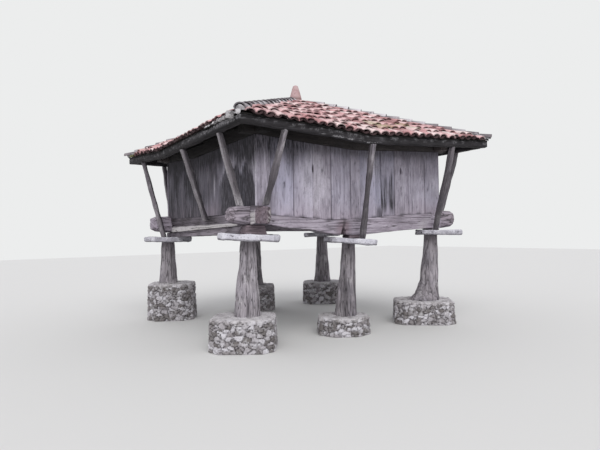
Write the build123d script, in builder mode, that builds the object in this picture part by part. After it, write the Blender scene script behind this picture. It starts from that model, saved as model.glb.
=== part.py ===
from build123d import *
from math import atan2, cos, degrees, hypot, radians, sin
import os

# Raised granary: a square timber store room on six stone-capped trunk posts, under a sagging
# pyramid roof. Millimetres. The origin is at the middle of the store room's plan, on the level
# that the lowest plinth stands on. The front wall faces -Y and the left wall faces -X.

os.makedirs("parts", exist_ok=True)

# Store room, over the outer faces of the planks
half_x = 2440
half_y = 2340
plank_thickness = 60
wall_height = 1430
fit = 0.3

# Ground beams: four heavy timbers, halved over each other at the corners
beam_width = 300
beam_depth = 410
beam_level = 2160
seat_height = 345
log_reach = 600
block_reach = 300

# Underside of the ground beams at each bearing, above or below beam_level
front_left_rise = 110
front_middle_drop = 110
back_left_rise = 5
back_right_drop = 10

# Droop of the front planks' feet and of the plank heads
front_foot_sag = 145
front_head_sag = 130
left_head_sag = 85
foot_level = beam_level + seat_height
head_level = foot_level + wall_height

# Wall plates
plate_width = 220
plate_depth = 300
plate_reach = 250
plate_out = 20

# Roof: eave beams, rafters, boarding, tile bed
overhang_x = 730
overhang_y = 800
eave_clearance = 10
eave_depth = 140
eave_width = 130
front_eave_sag = 140
left_eave_sag = 120
roof_rise = 1320
rafter_width = 90
rafter_depth = 190
rafter_count = 5
hip_width = 120
boarding = 25
tile_depth = 80
tile_reach = 70
hip_tile_radius = 100
finial_foot = 150
finial_head = 62
finial_height = 350
mortar_joint = 3
eave_x = half_x + overhang_x
eave_y = half_y + overhang_y
eave_level = head_level + eave_clearance
apex_level = eave_level + roof_rise

# Supports: rubble plinth, tapered trunk, flat capping stone
plinth_width = 1180
plinth_height = 585
post_foot = 505
post_head = 250
stone_span = 1200
stone_thickness = 115
packing = 171
strut_size = 108

# Vent slots in the front wall
vent_height = 180
vent_width = 44

# Floor
joist_width = 110
joist_depth = 120
joist_count = 5
floor_thickness = 40
floor_level = beam_level + 350


# A line of (place, height) pairs, its places given as fractions of a half width
def along(half, pairs):
    return [(half * place, height) for place, height in pairs]


# Height of such a line at one place
def height_at(line, place):
    for (x0, z0), (x1, z1) in zip(line, line[1:]):
        if x0 <= place <= x1:
            return z0 + (z1 - z0) * (place - x0) / (x1 - x0)
    return line[0][1] if place < line[0][0] else line[-1][1]


def lifted(line, rise):
    return [(place, height + rise) for place, height in line]


def trimmed(line, start, end):
    inside = [(place, height) for place, height in line if start < place < end]
    return [(start, height_at(line, start))] + inside + [(end, height_at(line, end))]


# Undersides of the ground beams. The front one is cracked beside the middle support and bends there
front_low = along(half_x, [
    (-1.30, beam_level + front_left_rise),
    (-0.87, beam_level + front_left_rise - 4),
    (-0.75, beam_level + 50),
    (-0.51, beam_level + 12),
    (-0.24, beam_level - front_middle_drop + 4),
    (0.07, beam_level - front_middle_drop),
    (0.58, beam_level - 30),
    (0.86, beam_level),
    (1.30, beam_level + 2),
])
front_high = along(half_x, [
    (-1.30, beam_level + front_left_rise + beam_depth - 62),
    (-0.80, beam_level + front_left_rise + beam_depth - 72),
    (-0.22, beam_level + beam_depth - 72),
    (0.30, beam_level + beam_depth - 40),
    (0.80, beam_level + beam_depth),
    (1.30, beam_level + beam_depth + 2),
])
back_low = along(half_x, [
    (-1.30, beam_level + back_left_rise),
    (-0.80, beam_level + back_left_rise),
    (0.80, beam_level - back_right_drop),
    (1.30, beam_level - back_right_drop),
])
back_high = lifted(back_low, beam_depth)
left_low = along(half_y, [
    (-1.30, beam_level + front_left_rise - 4),
    (-0.80, beam_level + front_left_rise - 4),
    (0.80, beam_level + back_left_rise),
    (1.30, beam_level + back_left_rise),
])
left_high = along(half_y, [
    (-1.30, beam_level + front_left_rise + beam_depth - 58),
    (-0.80, beam_level + front_left_rise + beam_depth - 64),
    (0.80, beam_level + back_left_rise + beam_depth),
    (1.30, beam_level + back_left_rise + beam_depth),
])
right_low = along(half_y, [
    (-1.30, beam_level),
    (-0.80, beam_level),
    (0.80, beam_level - back_right_drop),
    (1.30, beam_level - back_right_drop),
])
right_high = lifted(right_low, beam_depth)

# Lines of the plank feet and heads
front_foot = along(half_x, [
    (-1, foot_level - 35),
    (-0.51, foot_level - 105),
    (-0.31, foot_level - front_foot_sag),
    (-0.08, foot_level - front_foot_sag + 10),
    (0.60, foot_level - 25),
    (1, foot_level),
])
back_foot = along(half_x, [(-1, foot_level - 5), (1, foot_level - 15)])
left_foot = along(half_y, [(-1, foot_level - 10), (1, foot_level)])
right_foot = along(half_y, [(-1, foot_level), (1, foot_level - 10)])
front_head = along(half_x, [
    (-1, head_level + 10),
    (-0.53, head_level - 65),
    (-0.04, head_level - front_head_sag),
    (0.49, head_level - 60),
    (1, head_level),
])
back_head = along(half_x, [(-1, head_level + 15), (0, head_level - 10), (1, head_level + 5)])
left_head = along(half_y, [(-1, head_level + 10), (0.22, head_level - left_head_sag), (1, head_level + 15)])
right_head = along(half_y, [(-1, head_level), (0.1, head_level - 15), (1, head_level + 5)])

# Lower outer edge of the eaves, going round from the front left corner
front_eave = [
    (-eave_x, eave_level),
    (-eave_x * 0.47, eave_level - front_eave_sag * 0.5),
    (-eave_x * 0.12, eave_level - front_eave_sag),
    (eave_x * 0.49, eave_level - front_eave_sag * 0.32),
    (eave_x, eave_level + 35),
]
right_eave = [(-eave_y, eave_level + 35), (0, eave_level + 10), (eave_y, eave_level + 15)]
back_eave = [(-eave_x, eave_level + 15), (0, eave_level - 15), (eave_x, eave_level + 15)]
left_eave = [
    (-eave_y, eave_level),
    (-eave_y * 0.32, eave_level - left_eave_sag * 0.54),
    (eave_y * 0.22, eave_level - left_eave_sag),
    (eave_y, eave_level + 15),
]
front_ring = [Vector(x, -eave_y, z) for x, z in front_eave]
right_ring = [Vector(eave_x, y, z) for y, z in right_eave]
back_ring = [Vector(x, eave_y, z) for x, z in back_eave]
left_ring = [Vector(-eave_x, y, z) for y, z in left_eave]
apex = Vector(0, 0, apex_level)


# Shared forms

# A band between two edge lines, drawn in the upright plane of a wall and given its thickness
def upright(plane, low, high, thickness):
    with BuildPart() as band:
        with BuildSketch(plane):
            with BuildLine():
                Polyline(*low, *reversed(high), close=True)
            make_face()
        extrude(amount=thickness)
    return band.part


# One slope of the roof as a layer: flat bays fanning out from the apex to the sagging eave line
def slope(ring, base, thickness, reach):
    top = apex + Vector(0, 0, base)
    spread = 1 + reach / eave_y
    edge = [apex + (point + Vector(0, 0, eave_depth) - apex) * spread + Vector(0, 0, base) for point in ring]
    with BuildPart() as layer:
        for first, second in zip(edge, edge[1:]):
            bay = Face(Wire.make_polygon([top, first, second]))
            extrude(bay, amount=thickness, dir=(0, 0, 1))
    return layer.part


# An upright blade along both diagonals of the roof, to part the slopes or to shape the hip rafters
def hip_blades(width):
    with BuildPart() as blades:
        with BuildSketch():
            for turn in (degrees(atan2(eave_y, eave_x)), degrees(atan2(-eave_y, eave_x))):
                with Locations(Location((0, 0), turn)):
                    Rectangle(2.2 * hypot(eave_x, eave_y), width)
        extrude(amount=2 * apex_level)
    return blades.part


def block(x0, x1, y0, y1, z0, z1):
    with BuildPart() as solid:
        with BuildSketch(Plane.XY.offset(z0)):
            with Locations(((x0 + x1) / 2, (y0 + y1) / 2)):
                Rectangle(x1 - x0, y1 - y0)
        extrude(amount=z1 - z0)
    return solid.part


# Supports

# The capping stones lean down to one side
def leaning_plane(x, y, z, lean, heading):
    across = Vector(cos(radians(heading)), sin(radians(heading)), 0)
    normal = Vector(0, 0, 1) * cos(radians(lean)) + across * sin(radians(lean))
    along_dir = across * cos(radians(lean)) - Vector(0, 0, 1) * sin(radians(lean))
    return Plane(origin=(x, y, z), x_dir=along_dir, z_dir=normal)


# A squared outline with its corners hewn off
def hewn(width, depth, corner):
    with BuildSketch(mode=Mode.PRIVATE) as outline:
        Rectangle(width, depth)
        chamfer(outline.vertices(), corner)
    return outline.sketch


# Direction in which the capping stones lean, and in which posts and plinths stray from under them
heading = -33.6
toward = Vector(cos(radians(heading)), sin(radians(heading)), 0)


# Rubble plinth: a drum or a blunt square that narrows a little to a worn upper edge
def plinth(centre, shift, width, depth, corner, turn, height):
    middle = centre + toward * shift
    with BuildPart() as drum:
        for level, share in ((0, 1), (height * 0.95, 0.965), (height, 0.92)):
            with BuildSketch(Plane.XY.offset(level)):
                with Locations(Location((middle.X, middle.Y), turn)):
                    add(hewn(width * share, depth * share, corner * share))
        loft(ruled=True)
    return drum


# Solid with one flat face between each pair of matching edges of its rings of points
def faceted(rings):
    faces = [Face(Wire.make_polygon(rings[0])), Face(Wire.make_polygon(rings[-1]))]
    for low, high in zip(rings, rings[1:]):
        for i in range(len(low)):
            j = (i + 1) % len(low)
            faces.append(Face(Wire.make_polygon([low[i], low[j], high[j], high[i]])))
    return Solid(Shell(faces))


# Trunk post: hewn ten-sided rings (shift, level, width), from the foot to the stone
def trunk(centre, sections, underside):
    rings = []
    for shift, level, width in sections:
        middle = centre + toward * shift
        spokes = [Vector(width / 2, 0, level).rotate(Axis.Z, 36 * i) for i in range(10)]
        rings.append([Vector(middle.X, middle.Y, 0) + spoke for spoke in spokes])
    with BuildPart() as post:
        add(faceted(rings))
        split(bisect_by=underside, keep=Keep.BOTTOM)
    return post


# Capping stone: a rough split disc, cut straight on one or two sides
def capping_stone(seat, span, depth, thickness, cut_right, cut_left):
    with BuildPart() as stone:
        with BuildSketch(seat):
            with BuildLine():
                Polyline(
                    (span * 0.50, depth * 0.05), (span * 0.43, depth * 0.31),
                    (span * 0.24, depth * 0.45), (-span * 0.05, depth * 0.50),
                    (-span * 0.32, depth * 0.40), (-span * 0.47, depth * 0.19),
                    (-span * 0.50, -depth * 0.10), (-span * 0.39, -depth * 0.36),
                    (-span * 0.15, -depth * 0.49), (span * 0.17, -depth * 0.47),
                    (span * 0.40, -depth * 0.33), close=True)
            make_face()
            with Locations((span * (cut_right - cut_left) / 2, 0)):
                Rectangle(span * (cut_right + cut_left), depth * 1.2, mode=Mode.INTERSECT)
        extrude(amount=thickness)
        chamfer(stone.faces().sort_by(SortBy.AREA)[-2:].edges(), thickness * 0.16)
    return stone


# Middles of the capping stones, against the crossings of the ground beams
corner_x = half_x - beam_width / 2
corner_y = half_y - beam_width / 2
front_left = Vector(-corner_x - stone_span * 0.161, -corner_y + stone_span * 0.027, 0)
front_middle = Vector(-stone_span * 0.073, -corner_y + stone_span * 0.026, 0)
front_right = Vector(corner_x + stone_span * 0.130, -corner_y - stone_span * 0.085, 0)
back_left = Vector(-corner_x - stone_span * 0.129, corner_y + stone_span * 0.073, 0)
back_middle = Vector(0, corner_y + stone_span * 0.008, 0)
back_right = Vector(corner_x + stone_span * 0.058, corner_y + stone_span * 0.033, 0)

thin_stone = stone_thickness * 0.9


# Underside of a capping stone: its packing and its own thickness below the beam that it carries
def seat_below(centre, beam_underside, pack, thickness, lean):
    return leaning_plane(centre.X, centre.Y, beam_underside - pack - thickness, lean, heading)


front_left_seat = seat_below(front_left, beam_level + front_left_rise - 4, packing, stone_thickness, 3.2)
front_middle_seat = seat_below(front_middle, beam_level - front_middle_drop, packing * 0.46, thin_stone, 4.6)
front_right_seat = seat_below(front_right, beam_level, packing * 0.26, thin_stone, 1.0)
back_left_seat = seat_below(back_left, beam_level + back_left_rise, packing * 0.655, stone_thickness, 0.6)
back_middle_seat = seat_below(back_middle, beam_level, packing * 0.45, stone_thickness, 1.5)
back_right_seat = seat_below(back_right, beam_level - back_right_drop, packing * 0.28, stone_thickness, -1.2)

front_left_plinth = plinth(
    front_left, -stone_span * 0.114, plinth_width, plinth_width * 0.95, plinth_width * 0.17,
    -35, plinth_height)
front_middle_plinth = plinth(
    front_middle, -stone_span * 0.158, plinth_width * 0.9, plinth_width * 0.88, plinth_width * 0.25, -30,
    plinth_height * 0.62)
front_right_plinth = plinth(
    front_right, -stone_span * 0.336, plinth_width * 1.14, plinth_width * 1.02, plinth_width * 0.17, -40,
    plinth_height * 0.85)
back_left_plinth = plinth(
    back_left, stone_span * 0.064, plinth_width * 0.95, plinth_width * 0.93, plinth_width * 0.20, -30,
    plinth_height * 1.52)
back_middle_plinth = plinth(
    back_middle, 0, plinth_width * 0.9, plinth_width * 0.9, plinth_width * 0.25, -30, plinth_height * 1.16)
back_right_plinth = plinth(
    back_right, -stone_span * 0.030, plinth_width * 0.98, plinth_width * 0.95, plinth_width * 0.18, -35,
    plinth_height * 1.06)

front_left_post = trunk(front_left, [
    (-stone_span * 0.061, plinth_height, post_foot),
    (-stone_span * 0.053, plinth_height + post_foot * 0.65, post_foot * 0.88),
    (-stone_span * 0.037, plinth_height + post_foot * 1.75, post_head * 1.37),
    (-stone_span * 0.020, front_left_seat.origin.Z + packing, post_head * 1.02),
], front_left_seat.offset(-fit))
front_middle_post = trunk(front_middle, [
    (-stone_span * 0.117, plinth_height * 0.62, post_foot * 0.94),
    (-stone_span * 0.099, plinth_height * 0.62 + post_foot * 0.8, post_foot * 0.82),
    (-stone_span * 0.063, plinth_height * 0.62 + post_foot * 1.95, post_head * 1.3),
    (-stone_span * 0.035, front_middle_seat.origin.Z + packing, post_head * 1.08),
], front_middle_seat.offset(-fit))
front_right_post = trunk(front_right, [
    (-stone_span * 0.325, plinth_height * 0.85, post_foot * 1.46),
    (-stone_span * 0.262, plinth_height * 0.85 + post_foot * 0.30, post_foot * 1.10),
    (-stone_span * 0.210, plinth_height * 0.85 + post_foot * 0.90, post_foot * 0.86),
    (-stone_span * 0.180, plinth_height * 0.85 + post_foot * 2.0, post_head * 1.45),
    (-stone_span * 0.162, front_right_seat.origin.Z + packing, post_head * 1.22),
], front_right_seat.offset(-fit))
back_left_post = trunk(back_left, [
    (-stone_span * 0.011, plinth_height * 1.52, post_foot * 0.92),
    (-stone_span * 0.011, plinth_height * 1.52 + post_foot * 0.8, post_head * 1.6),
    (-stone_span * 0.011, back_left_seat.origin.Z + packing, post_head * 1.2),
], back_left_seat.offset(-fit))
back_middle_post = trunk(back_middle, [
    (0, plinth_height * 1.16, post_foot * 0.91),
    (0, plinth_height * 1.16 + post_foot, post_head * 1.5),
    (0, back_middle_seat.origin.Z + packing, post_head * 1.12),
], back_middle_seat.offset(-fit))
back_right_post = trunk(back_right, [
    (-stone_span * 0.026, plinth_height * 1.06, post_foot),
    (-stone_span * 0.020, plinth_height * 1.06 + post_foot * 0.75, post_head * 1.65),
    (-stone_span * 0.013, back_right_seat.origin.Z + packing, post_head * 1.18),
], back_right_seat.offset(-fit))

front_left_stone = capping_stone(front_left_seat, stone_span, stone_span * 0.93, stone_thickness, 0.47, 0.6)
front_middle_stone = capping_stone(
    front_middle_seat, stone_span * 0.97, stone_span * 0.9, thin_stone, 0.48, 0.6)
front_right_stone = capping_stone(
    front_right_seat, stone_span * 0.94, stone_span * 0.88, thin_stone, 0.6, 0.6)
back_left_stone = capping_stone(back_left_seat, stone_span, stone_span * 0.92, stone_thickness, 0.48, 0.48)
back_middle_stone = capping_stone(
    back_middle_seat, stone_span * 0.95, stone_span * 0.9, stone_thickness, 0.6, 0.48)
back_right_stone = capping_stone(
    back_right_seat, stone_span * 0.96, stone_span * 0.92, stone_thickness, 0.48, 0.6)

# Top plane of each capping stone, where the timber above bears on it
front_left_bed = front_left_seat.offset(stone_thickness + fit)
front_middle_bed = front_middle_seat.offset(thin_stone + fit)
front_right_bed = front_right_seat.offset(thin_stone + fit)
back_left_bed = back_left_seat.offset(stone_thickness + fit)
back_middle_bed = back_middle_seat.offset(stone_thickness + fit)
back_right_bed = back_right_seat.offset(stone_thickness + fit)

# Wall plate timbers as plain bands, carried level past the corners of the room
def cross_plate_band(side, head, slack):
    outer = half_y + plate_out + slack
    plane = Plane.XZ.offset(outer - plate_width - 2 * slack) if side < 0 else Plane.XZ.offset(-outer)
    reach = half_x + plate_reach + slack
    low = lifted([(-reach, head[0][1])] + head + [(reach, head[-1][1])], fit - slack)
    return upright(plane, low, lifted(low, plate_depth + 2 * slack), plate_width + 2 * slack)


def side_plate_band(side, head, slack):
    outer = half_x + plate_out + slack
    plane = Plane.YZ.offset(-outer) if side < 0 else Plane.YZ.offset(outer - plate_width - 2 * slack)
    reach = half_y + plate_reach + slack
    low = lifted([(-reach, head[0][1])] + head + [(reach, head[-1][1])], fit - slack)
    return upright(plane, low, lifted(low, plate_depth + 2 * slack), plate_width + 2 * slack)


plate_clearance = [
    cross_plate_band(-1, front_head, fit),
    cross_plate_band(1, back_head, fit),
    side_plate_band(-1, left_head, fit),
    side_plate_band(1, right_head, fit),
]
rings = {"front": front_ring, "right": right_ring, "back": back_ring, "left": left_ring}
above_rafters = {side: slope(ring, 0, 3 * plate_depth, plate_depth) for side, ring in rings.items()}

# Store room walls

inner_x = half_x - plank_thickness
inner_y = half_y - plank_thickness


# Front or back wall band. "slack" opens it a little where it is used to cut its own seat
def cross_wall(side, foot, head, slack):
    plane = Plane.XZ.offset(inner_y - slack) if side < 0 else Plane.XZ.offset(-half_y - slack)
    low = [(x * (1 + slack / half_x), z - slack) for x, z in foot]
    high = [(x * (1 + slack / half_x), z + slack) for x, z in head]
    return upright(plane, low, high, plank_thickness + 2 * slack)


# Left or right wall band, butted between the front and back walls
def side_wall(side, foot, head, slack):
    plane = Plane.YZ.offset(-half_x - slack) if side < 0 else Plane.YZ.offset(inner_x - slack)
    end = inner_y - fit + slack
    low = lifted(trimmed(foot, -end, end), -slack)
    high = lifted(trimmed(head, -end, end), slack)
    return upright(plane, low, high, plank_thickness + 2 * slack)


with BuildPart() as front_wall:
    add(cross_wall(-1, front_foot, front_head, 0))
    # two narrow vent slots through the planks
    vents = (
        (-half_x * 0.471, head_level - wall_height * 0.40),
        (half_x * 0.50, head_level - wall_height * 0.35))
    for x, z in vents:
        with BuildSketch(Plane.XZ.offset(inner_y - vent_width)):
            with Locations((x, z)):
                SlotOverall(vent_height, vent_width, rotation=90)
        extrude(amount=plank_thickness + 2 * vent_width, mode=Mode.SUBTRACT)

    for clearance in plate_clearance:
        add(clearance, mode=Mode.SUBTRACT)

with BuildPart() as back_wall:
    add(cross_wall(1, back_foot, back_head, 0))
    for clearance in plate_clearance:
        add(clearance, mode=Mode.SUBTRACT)

with BuildPart() as left_wall:
    add(side_wall(-1, left_foot, left_head, 0))
    for clearance in plate_clearance:
        add(clearance, mode=Mode.SUBTRACT)

with BuildPart() as right_wall:
    add(side_wall(1, right_foot, right_head, 0))
    for clearance in plate_clearance:
        add(clearance, mode=Mode.SUBTRACT)

wall_seats = [
    cross_wall(-1, front_foot, lifted(front_foot, beam_depth), fit),
    cross_wall(1, back_foot, lifted(back_foot, beam_depth), fit),
    side_wall(-1, left_foot, lifted(left_foot, beam_depth), fit),
    side_wall(1, right_foot, lifted(right_foot, beam_depth), fit),
]

# Ground beams


# Level of the halving at a corner: midway between the underside and the top of the beams
def halving(low, high, place):
    return (height_at(low, place) + height_at(high, place)) / 2


lap_front_left = halving(front_low, front_high, -corner_x)
lap_front_right = halving(front_low, front_high, corner_x)
lap_back_left = halving(back_low, back_high, -corner_x)
lap_back_right = halving(back_low, back_high, corner_x)


# Beam along X on the front (side -1) or back (side 1), with its laps cut from above
def cross_beam(side, low, high, left_end, right_end, laps):
    plane = Plane.XZ.offset(half_y - beam_width) if side < 0 else Plane.XZ.offset(-half_y)
    with BuildPart() as beam:
        underside = trimmed(low, -left_end, right_end)
        topside = trimmed(high, -left_end, right_end)
        add(upright(plane, underside, topside, beam_width))
        for end, lap in ((-1, laps[0]), (1, laps[1])):
            x0, x1 = sorted((end * (half_x + fit), end * (half_x - beam_width - fit)))
            y0 = side * half_y - beam_width
            notch = block(x0, x1, y0, y0 + 2 * beam_width, lap, lap + beam_depth)
            add(notch, mode=Mode.SUBTRACT)
        for seat in wall_seats:
            add(seat, mode=Mode.SUBTRACT)
    return beam.part


# Beam along Y on the left (side -1) or right (side 1), with its laps cut from below
def side_beam(side, low, high, front_end, back_end, laps):
    plane = Plane.YZ.offset(-half_x) if side < 0 else Plane.YZ.offset(half_x - beam_width)
    with BuildPart() as beam:
        underside = trimmed(low, -front_end, back_end)
        topside = trimmed(high, -front_end, back_end)
        add(upright(plane, underside, topside, beam_width))
        for end, lap in ((-1, laps[0]), (1, laps[1])):
            y0, y1 = sorted((end * (half_y + fit), end * (half_y - beam_width - fit)))
            x0 = side * half_x - beam_width
            notch = block(x0, x0 + 2 * beam_width, y0, y1, lap - beam_depth, lap + fit)
            add(notch, mode=Mode.SUBTRACT)
        for seat in wall_seats:
            add(seat, mode=Mode.SUBTRACT)
    return beam.part


# Log end: hewn rings closing from the squared timber to a blunt weathered butt
def log_end(start, reach, side, low, high, outward):
    rings = []
    for share, size, corner in ((0, 1.0, 0.12), (0.75, 0.91, 0.22), (1, 0.64, 0.27)):
        y = beam_width * size / 2
        z = (high - low) * size / 2
        cut = beam_width * size * corner
        middle = Vector(
            outward * (start + reach * share), side * corner_y,
            (low + high) / 2 + (high - low) * 0.04 * share)
        corners = (
            (y, z - cut), (y - cut, z), (cut - y, z), (-y, z - cut),
            (-y, cut - z), (cut - y, -z), (y - cut, -z), (y, cut - z))
        rings.append([middle + Vector(0, *corner_point) for corner_point in corners])
    return faceted(rings)


front_left_high = height_at(front_high, -half_x)
with BuildPart() as front_ground_beam:
    add(cross_beam(-1, front_low, front_high, half_x, half_x, (lap_front_left, lap_front_right)))
    add(log_end(half_x, log_reach * 0.87, -1, height_at(front_low, -half_x), front_left_high, -1))
    add(log_end(half_x, log_reach * 0.95, -1, height_at(front_low, half_x), height_at(front_high, half_x), 1))
    # the break: a splintered cleft from the underside, beside the middle support
    with BuildSketch(Plane.XZ.offset(half_y - beam_width - fit)):
        cleft = height_at(front_low, -half_x * 0.17)
        with BuildLine():
            Polyline(
                (-half_x * 0.205, cleft - beam_depth * 0.15), (-half_x * 0.190, cleft + beam_depth * 0.22),
                (-half_x * 0.176, cleft + beam_depth * 0.32), (-half_x * 0.160, cleft + beam_depth * 0.57),
                (-half_x * 0.158, cleft + beam_depth * 0.29), (-half_x * 0.146, cleft + beam_depth * 0.20),
                (-half_x * 0.150, cleft - beam_depth * 0.15), close=True)
        make_face()
    extrude(amount=beam_width + 2 * fit, mode=Mode.SUBTRACT)

with BuildPart() as back_ground_beam:
    add(cross_beam(1, back_low, back_high, half_x, half_x, (lap_back_left, lap_back_right)))
    add(log_end(half_x, log_reach * 0.82, 1, height_at(back_low, -half_x), height_at(back_high, -half_x), -1))
    add(log_end(half_x, log_reach * 0.85, 1, height_at(back_low, half_x), height_at(back_high, half_x), 1))

# Head of the left ground beam: broader than the beam, outside the front beam's face
head_width = beam_width * 1.2
head_start = -half_x - beam_width * 0.45
head_reach = half_y + block_reach * 0.62
left_end_top = height_at(left_high, -half_y * 1.06)
with BuildPart() as left_ground_beam:
    beam_end = half_y + block_reach
    add(side_beam(-1, left_low, left_high, half_y + 3, beam_end, (lap_front_left, lap_back_left)))
    neck = block(
        head_start + head_width, -half_x + 2 * beam_width, -half_y - 2 * beam_width, -half_y,
        left_end_top - 2 * beam_depth, left_end_top + beam_depth)
    add(neck, mode=Mode.SUBTRACT)
    add(block(
        head_start, head_start + head_width, -head_reach, -half_y - fit,
        height_at(left_low, -half_y * 1.06), left_end_top))
    chamfer(left_ground_beam.edges().group_by(Axis.Y)[0], beam_width * 0.09)
    # worn ledge along the lower outer edge, dying out towards the front corner
    for y, tall, proud in (
        (inner_y - beam_width * 1.2, beam_depth * 0.35, beam_width * 0.18),
        (-half_y * 0.68, beam_depth * 0.17, beam_width * 0.07)):
        low = height_at(left_low, y)
        with BuildSketch(Plane(origin=(-half_x, y, low), x_dir=(-1, 0, 0), z_dir=(0, 1, 0))):
            with BuildLine():
                Polyline((-proud, 2), (proud, 2), (proud, tall * 0.72), (0, tall), (-proud, tall), close=True)
            make_face()
    loft(ruled=True)

with BuildPart() as right_ground_beam:
    add(side_beam(1, right_low, right_high, half_y, half_y + block_reach, (lap_front_right, lap_back_right)))

# Sill log under the left ground beam, spanning from stone to stone
with BuildPart() as left_sill_log:
    sill_start = -half_y * 0.80
    sill_end = half_y * 1.06
    sill_top = lifted(trimmed(left_low, sill_start, sill_end), -fit)
    sill_low = beam_level - beam_depth
    with BuildSketch(Plane.YZ.offset(-half_x + beam_width * 0.05)):
        with BuildLine():
            Polyline(*sill_top, (sill_end, sill_low), (sill_start, sill_low), close=True)
        make_face()
    extrude(amount=beam_width * 0.72)
    split(bisect_by=back_left_bed, keep=Keep.TOP)
    # its underside runs up from the back stone to the front one
    low_start = Vector(0, sill_start, height_at(left_low, sill_start) - packing * 0.96)
    low_end = Vector(0, half_y * 0.70, height_at(left_low, half_y * 0.70) - packing * 0.69)
    run = low_end - low_start
    split(bisect_by=Plane(origin=low_start, x_dir=(1, 0, 0), z_dir=Vector(1, 0, 0).cross(run)), keep=Keep.TOP)
    add(front_left_stone.part, mode=Mode.SUBTRACT)


# Bearing block between a capping stone and the ground beam, tapering upwards
def bearing_block(x, y, width, stone_bed, ceiling):
    with BuildPart() as taco:
        for level, spread in ((ceiling - beam_depth, 1.3), (ceiling - fit, 0.92)):
            with BuildSketch(Plane.XY.offset(level)):
                with Locations((x, y)):
                    Rectangle(width * spread, beam_width * 0.9 * spread)
        loft(ruled=True)
        split(bisect_by=stone_bed, keep=Keep.TOP)
    return taco.part


with BuildPart() as bearing_blocks:
    left_ceiling = min(height_at(front_low, -half_x), height_at(front_low, -half_x * 0.87))
    left_middle = -corner_x - beam_width * 0.48
    add(bearing_block(left_middle, -corner_y, beam_width * 1.4, front_left_bed, left_ceiling))
    middle_ceiling = beam_level - front_middle_drop
    add(bearing_block(-beam_width * 0.2, -corner_y, beam_width * 1.3, front_middle_bed, middle_ceiling))
    add(bearing_block(corner_x, -corner_y, beam_width * 1.1, front_right_bed, beam_level))
    back_ceiling = height_at(back_low, beam_width * 0.6)
    add(bearing_block(0, corner_y, beam_width * 1.2, back_middle_bed, back_ceiling))
    add(bearing_block(corner_x, corner_y, beam_width * 1.1, back_right_bed, beam_level - back_right_drop))

# Floor

joist_run = half_y - beam_width - fit
with BuildPart() as floor_joists:
    with BuildSketch(Plane.XY.offset(floor_level - floor_thickness - joist_depth - fit)):
        with GridLocations((half_x - beam_width) * 2 / joist_count, 1, joist_count, 1):
            Rectangle(joist_width, 2 * joist_run)
    extrude(amount=joist_depth)

with BuildPart() as floor_boards:
    with BuildSketch(Plane.XY.offset(floor_level - floor_thickness)):
        Rectangle(2 * (half_x - beam_width - fit), 2 * joist_run)
    extrude(amount=floor_thickness)

# Wall plates


# Front or back wall plate, lapped from above. "slack" grows it where it only clears its neighbours
def cross_plate(side, head, notches):
    with BuildPart() as plate:
        add(cross_plate_band(side, head, 0))
        for end, lap in ((-1, notches[0]), (1, notches[1])):
            outer = half_x + plate_out + fit
            x0, x1 = sorted((end * outer, end * (outer - plate_width - 2 * fit)))
            y0 = side * half_y - beam_width
            add(block(x0, x1, y0, y0 + 2 * beam_width, lap, lap + plate_depth), mode=Mode.SUBTRACT)
        for layer in above_rafters.values():
            add(layer, mode=Mode.SUBTRACT)
    return plate.part


# Left or right wall plate, lapped from below
def side_plate(side, head, notches):
    with BuildPart() as plate:
        add(side_plate_band(side, head, 0))
        for end, lap in ((-1, notches[0]), (1, notches[1])):
            outer = half_y + plate_out + fit
            y0, y1 = sorted((end * outer, end * (outer - plate_width - 2 * fit)))
            x0 = side * half_x - beam_width
            cut = block(x0, x0 + 2 * beam_width, y0, y1, lap - plate_depth, lap + fit)
            add(cut, mode=Mode.SUBTRACT)
        for layer in above_rafters.values():
            add(layer, mode=Mode.SUBTRACT)
    return plate.part


plate_lap_front_left = front_head[0][1] + plate_depth / 2
plate_lap_front_right = front_head[-1][1] + plate_depth / 2
plate_lap_back_left = back_head[0][1] + plate_depth / 2
plate_lap_back_right = back_head[-1][1] + plate_depth / 2

with BuildPart() as front_wall_plate:
    add(cross_plate(-1, front_head, (plate_lap_front_left, plate_lap_front_right)))
with BuildPart() as back_wall_plate:
    add(cross_plate(1, back_head, (plate_lap_back_left, plate_lap_back_right)))
with BuildPart() as left_wall_plate:
    add(side_plate(-1, left_head, (plate_lap_front_left, plate_lap_back_left)))
with BuildPart() as right_wall_plate:
    add(side_plate(1, right_head, (plate_lap_front_right, plate_lap_back_right)))

# Roof

# Eave beams: level under the drooping roof edge, front and back running through
with BuildPart() as eave_beams:
    front_plane = Plane.XZ.offset(eave_y - eave_width)
    for plane, line in ((front_plane, front_eave), (Plane.XZ.offset(-eave_y), back_eave)):
        add(upright(plane, line, lifted(line, eave_depth + tile_depth), eave_width))
    right_plane = Plane.YZ.offset(eave_x - eave_width)
    for plane, line in ((Plane.YZ.offset(-eave_x), left_eave), (right_plane, right_eave)):
        end = eave_y - eave_width - fit
        short = trimmed(line, -end, end)
        add(upright(plane, short, lifted(short, eave_depth + tile_depth), eave_width))
    for layer in above_rafters.values():
        add(layer, mode=Mode.SUBTRACT)

# Rafters: one hip rafter to each corner and jack rafters between, notched over the wall plates
rafter_end_x = eave_x - eave_width - fit
rafter_end_y = eave_y - eave_width - fit
under_roof = {side: slope(ring, -rafter_depth, rafter_depth - fit, 0) for side, ring in rings.items()}


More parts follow.
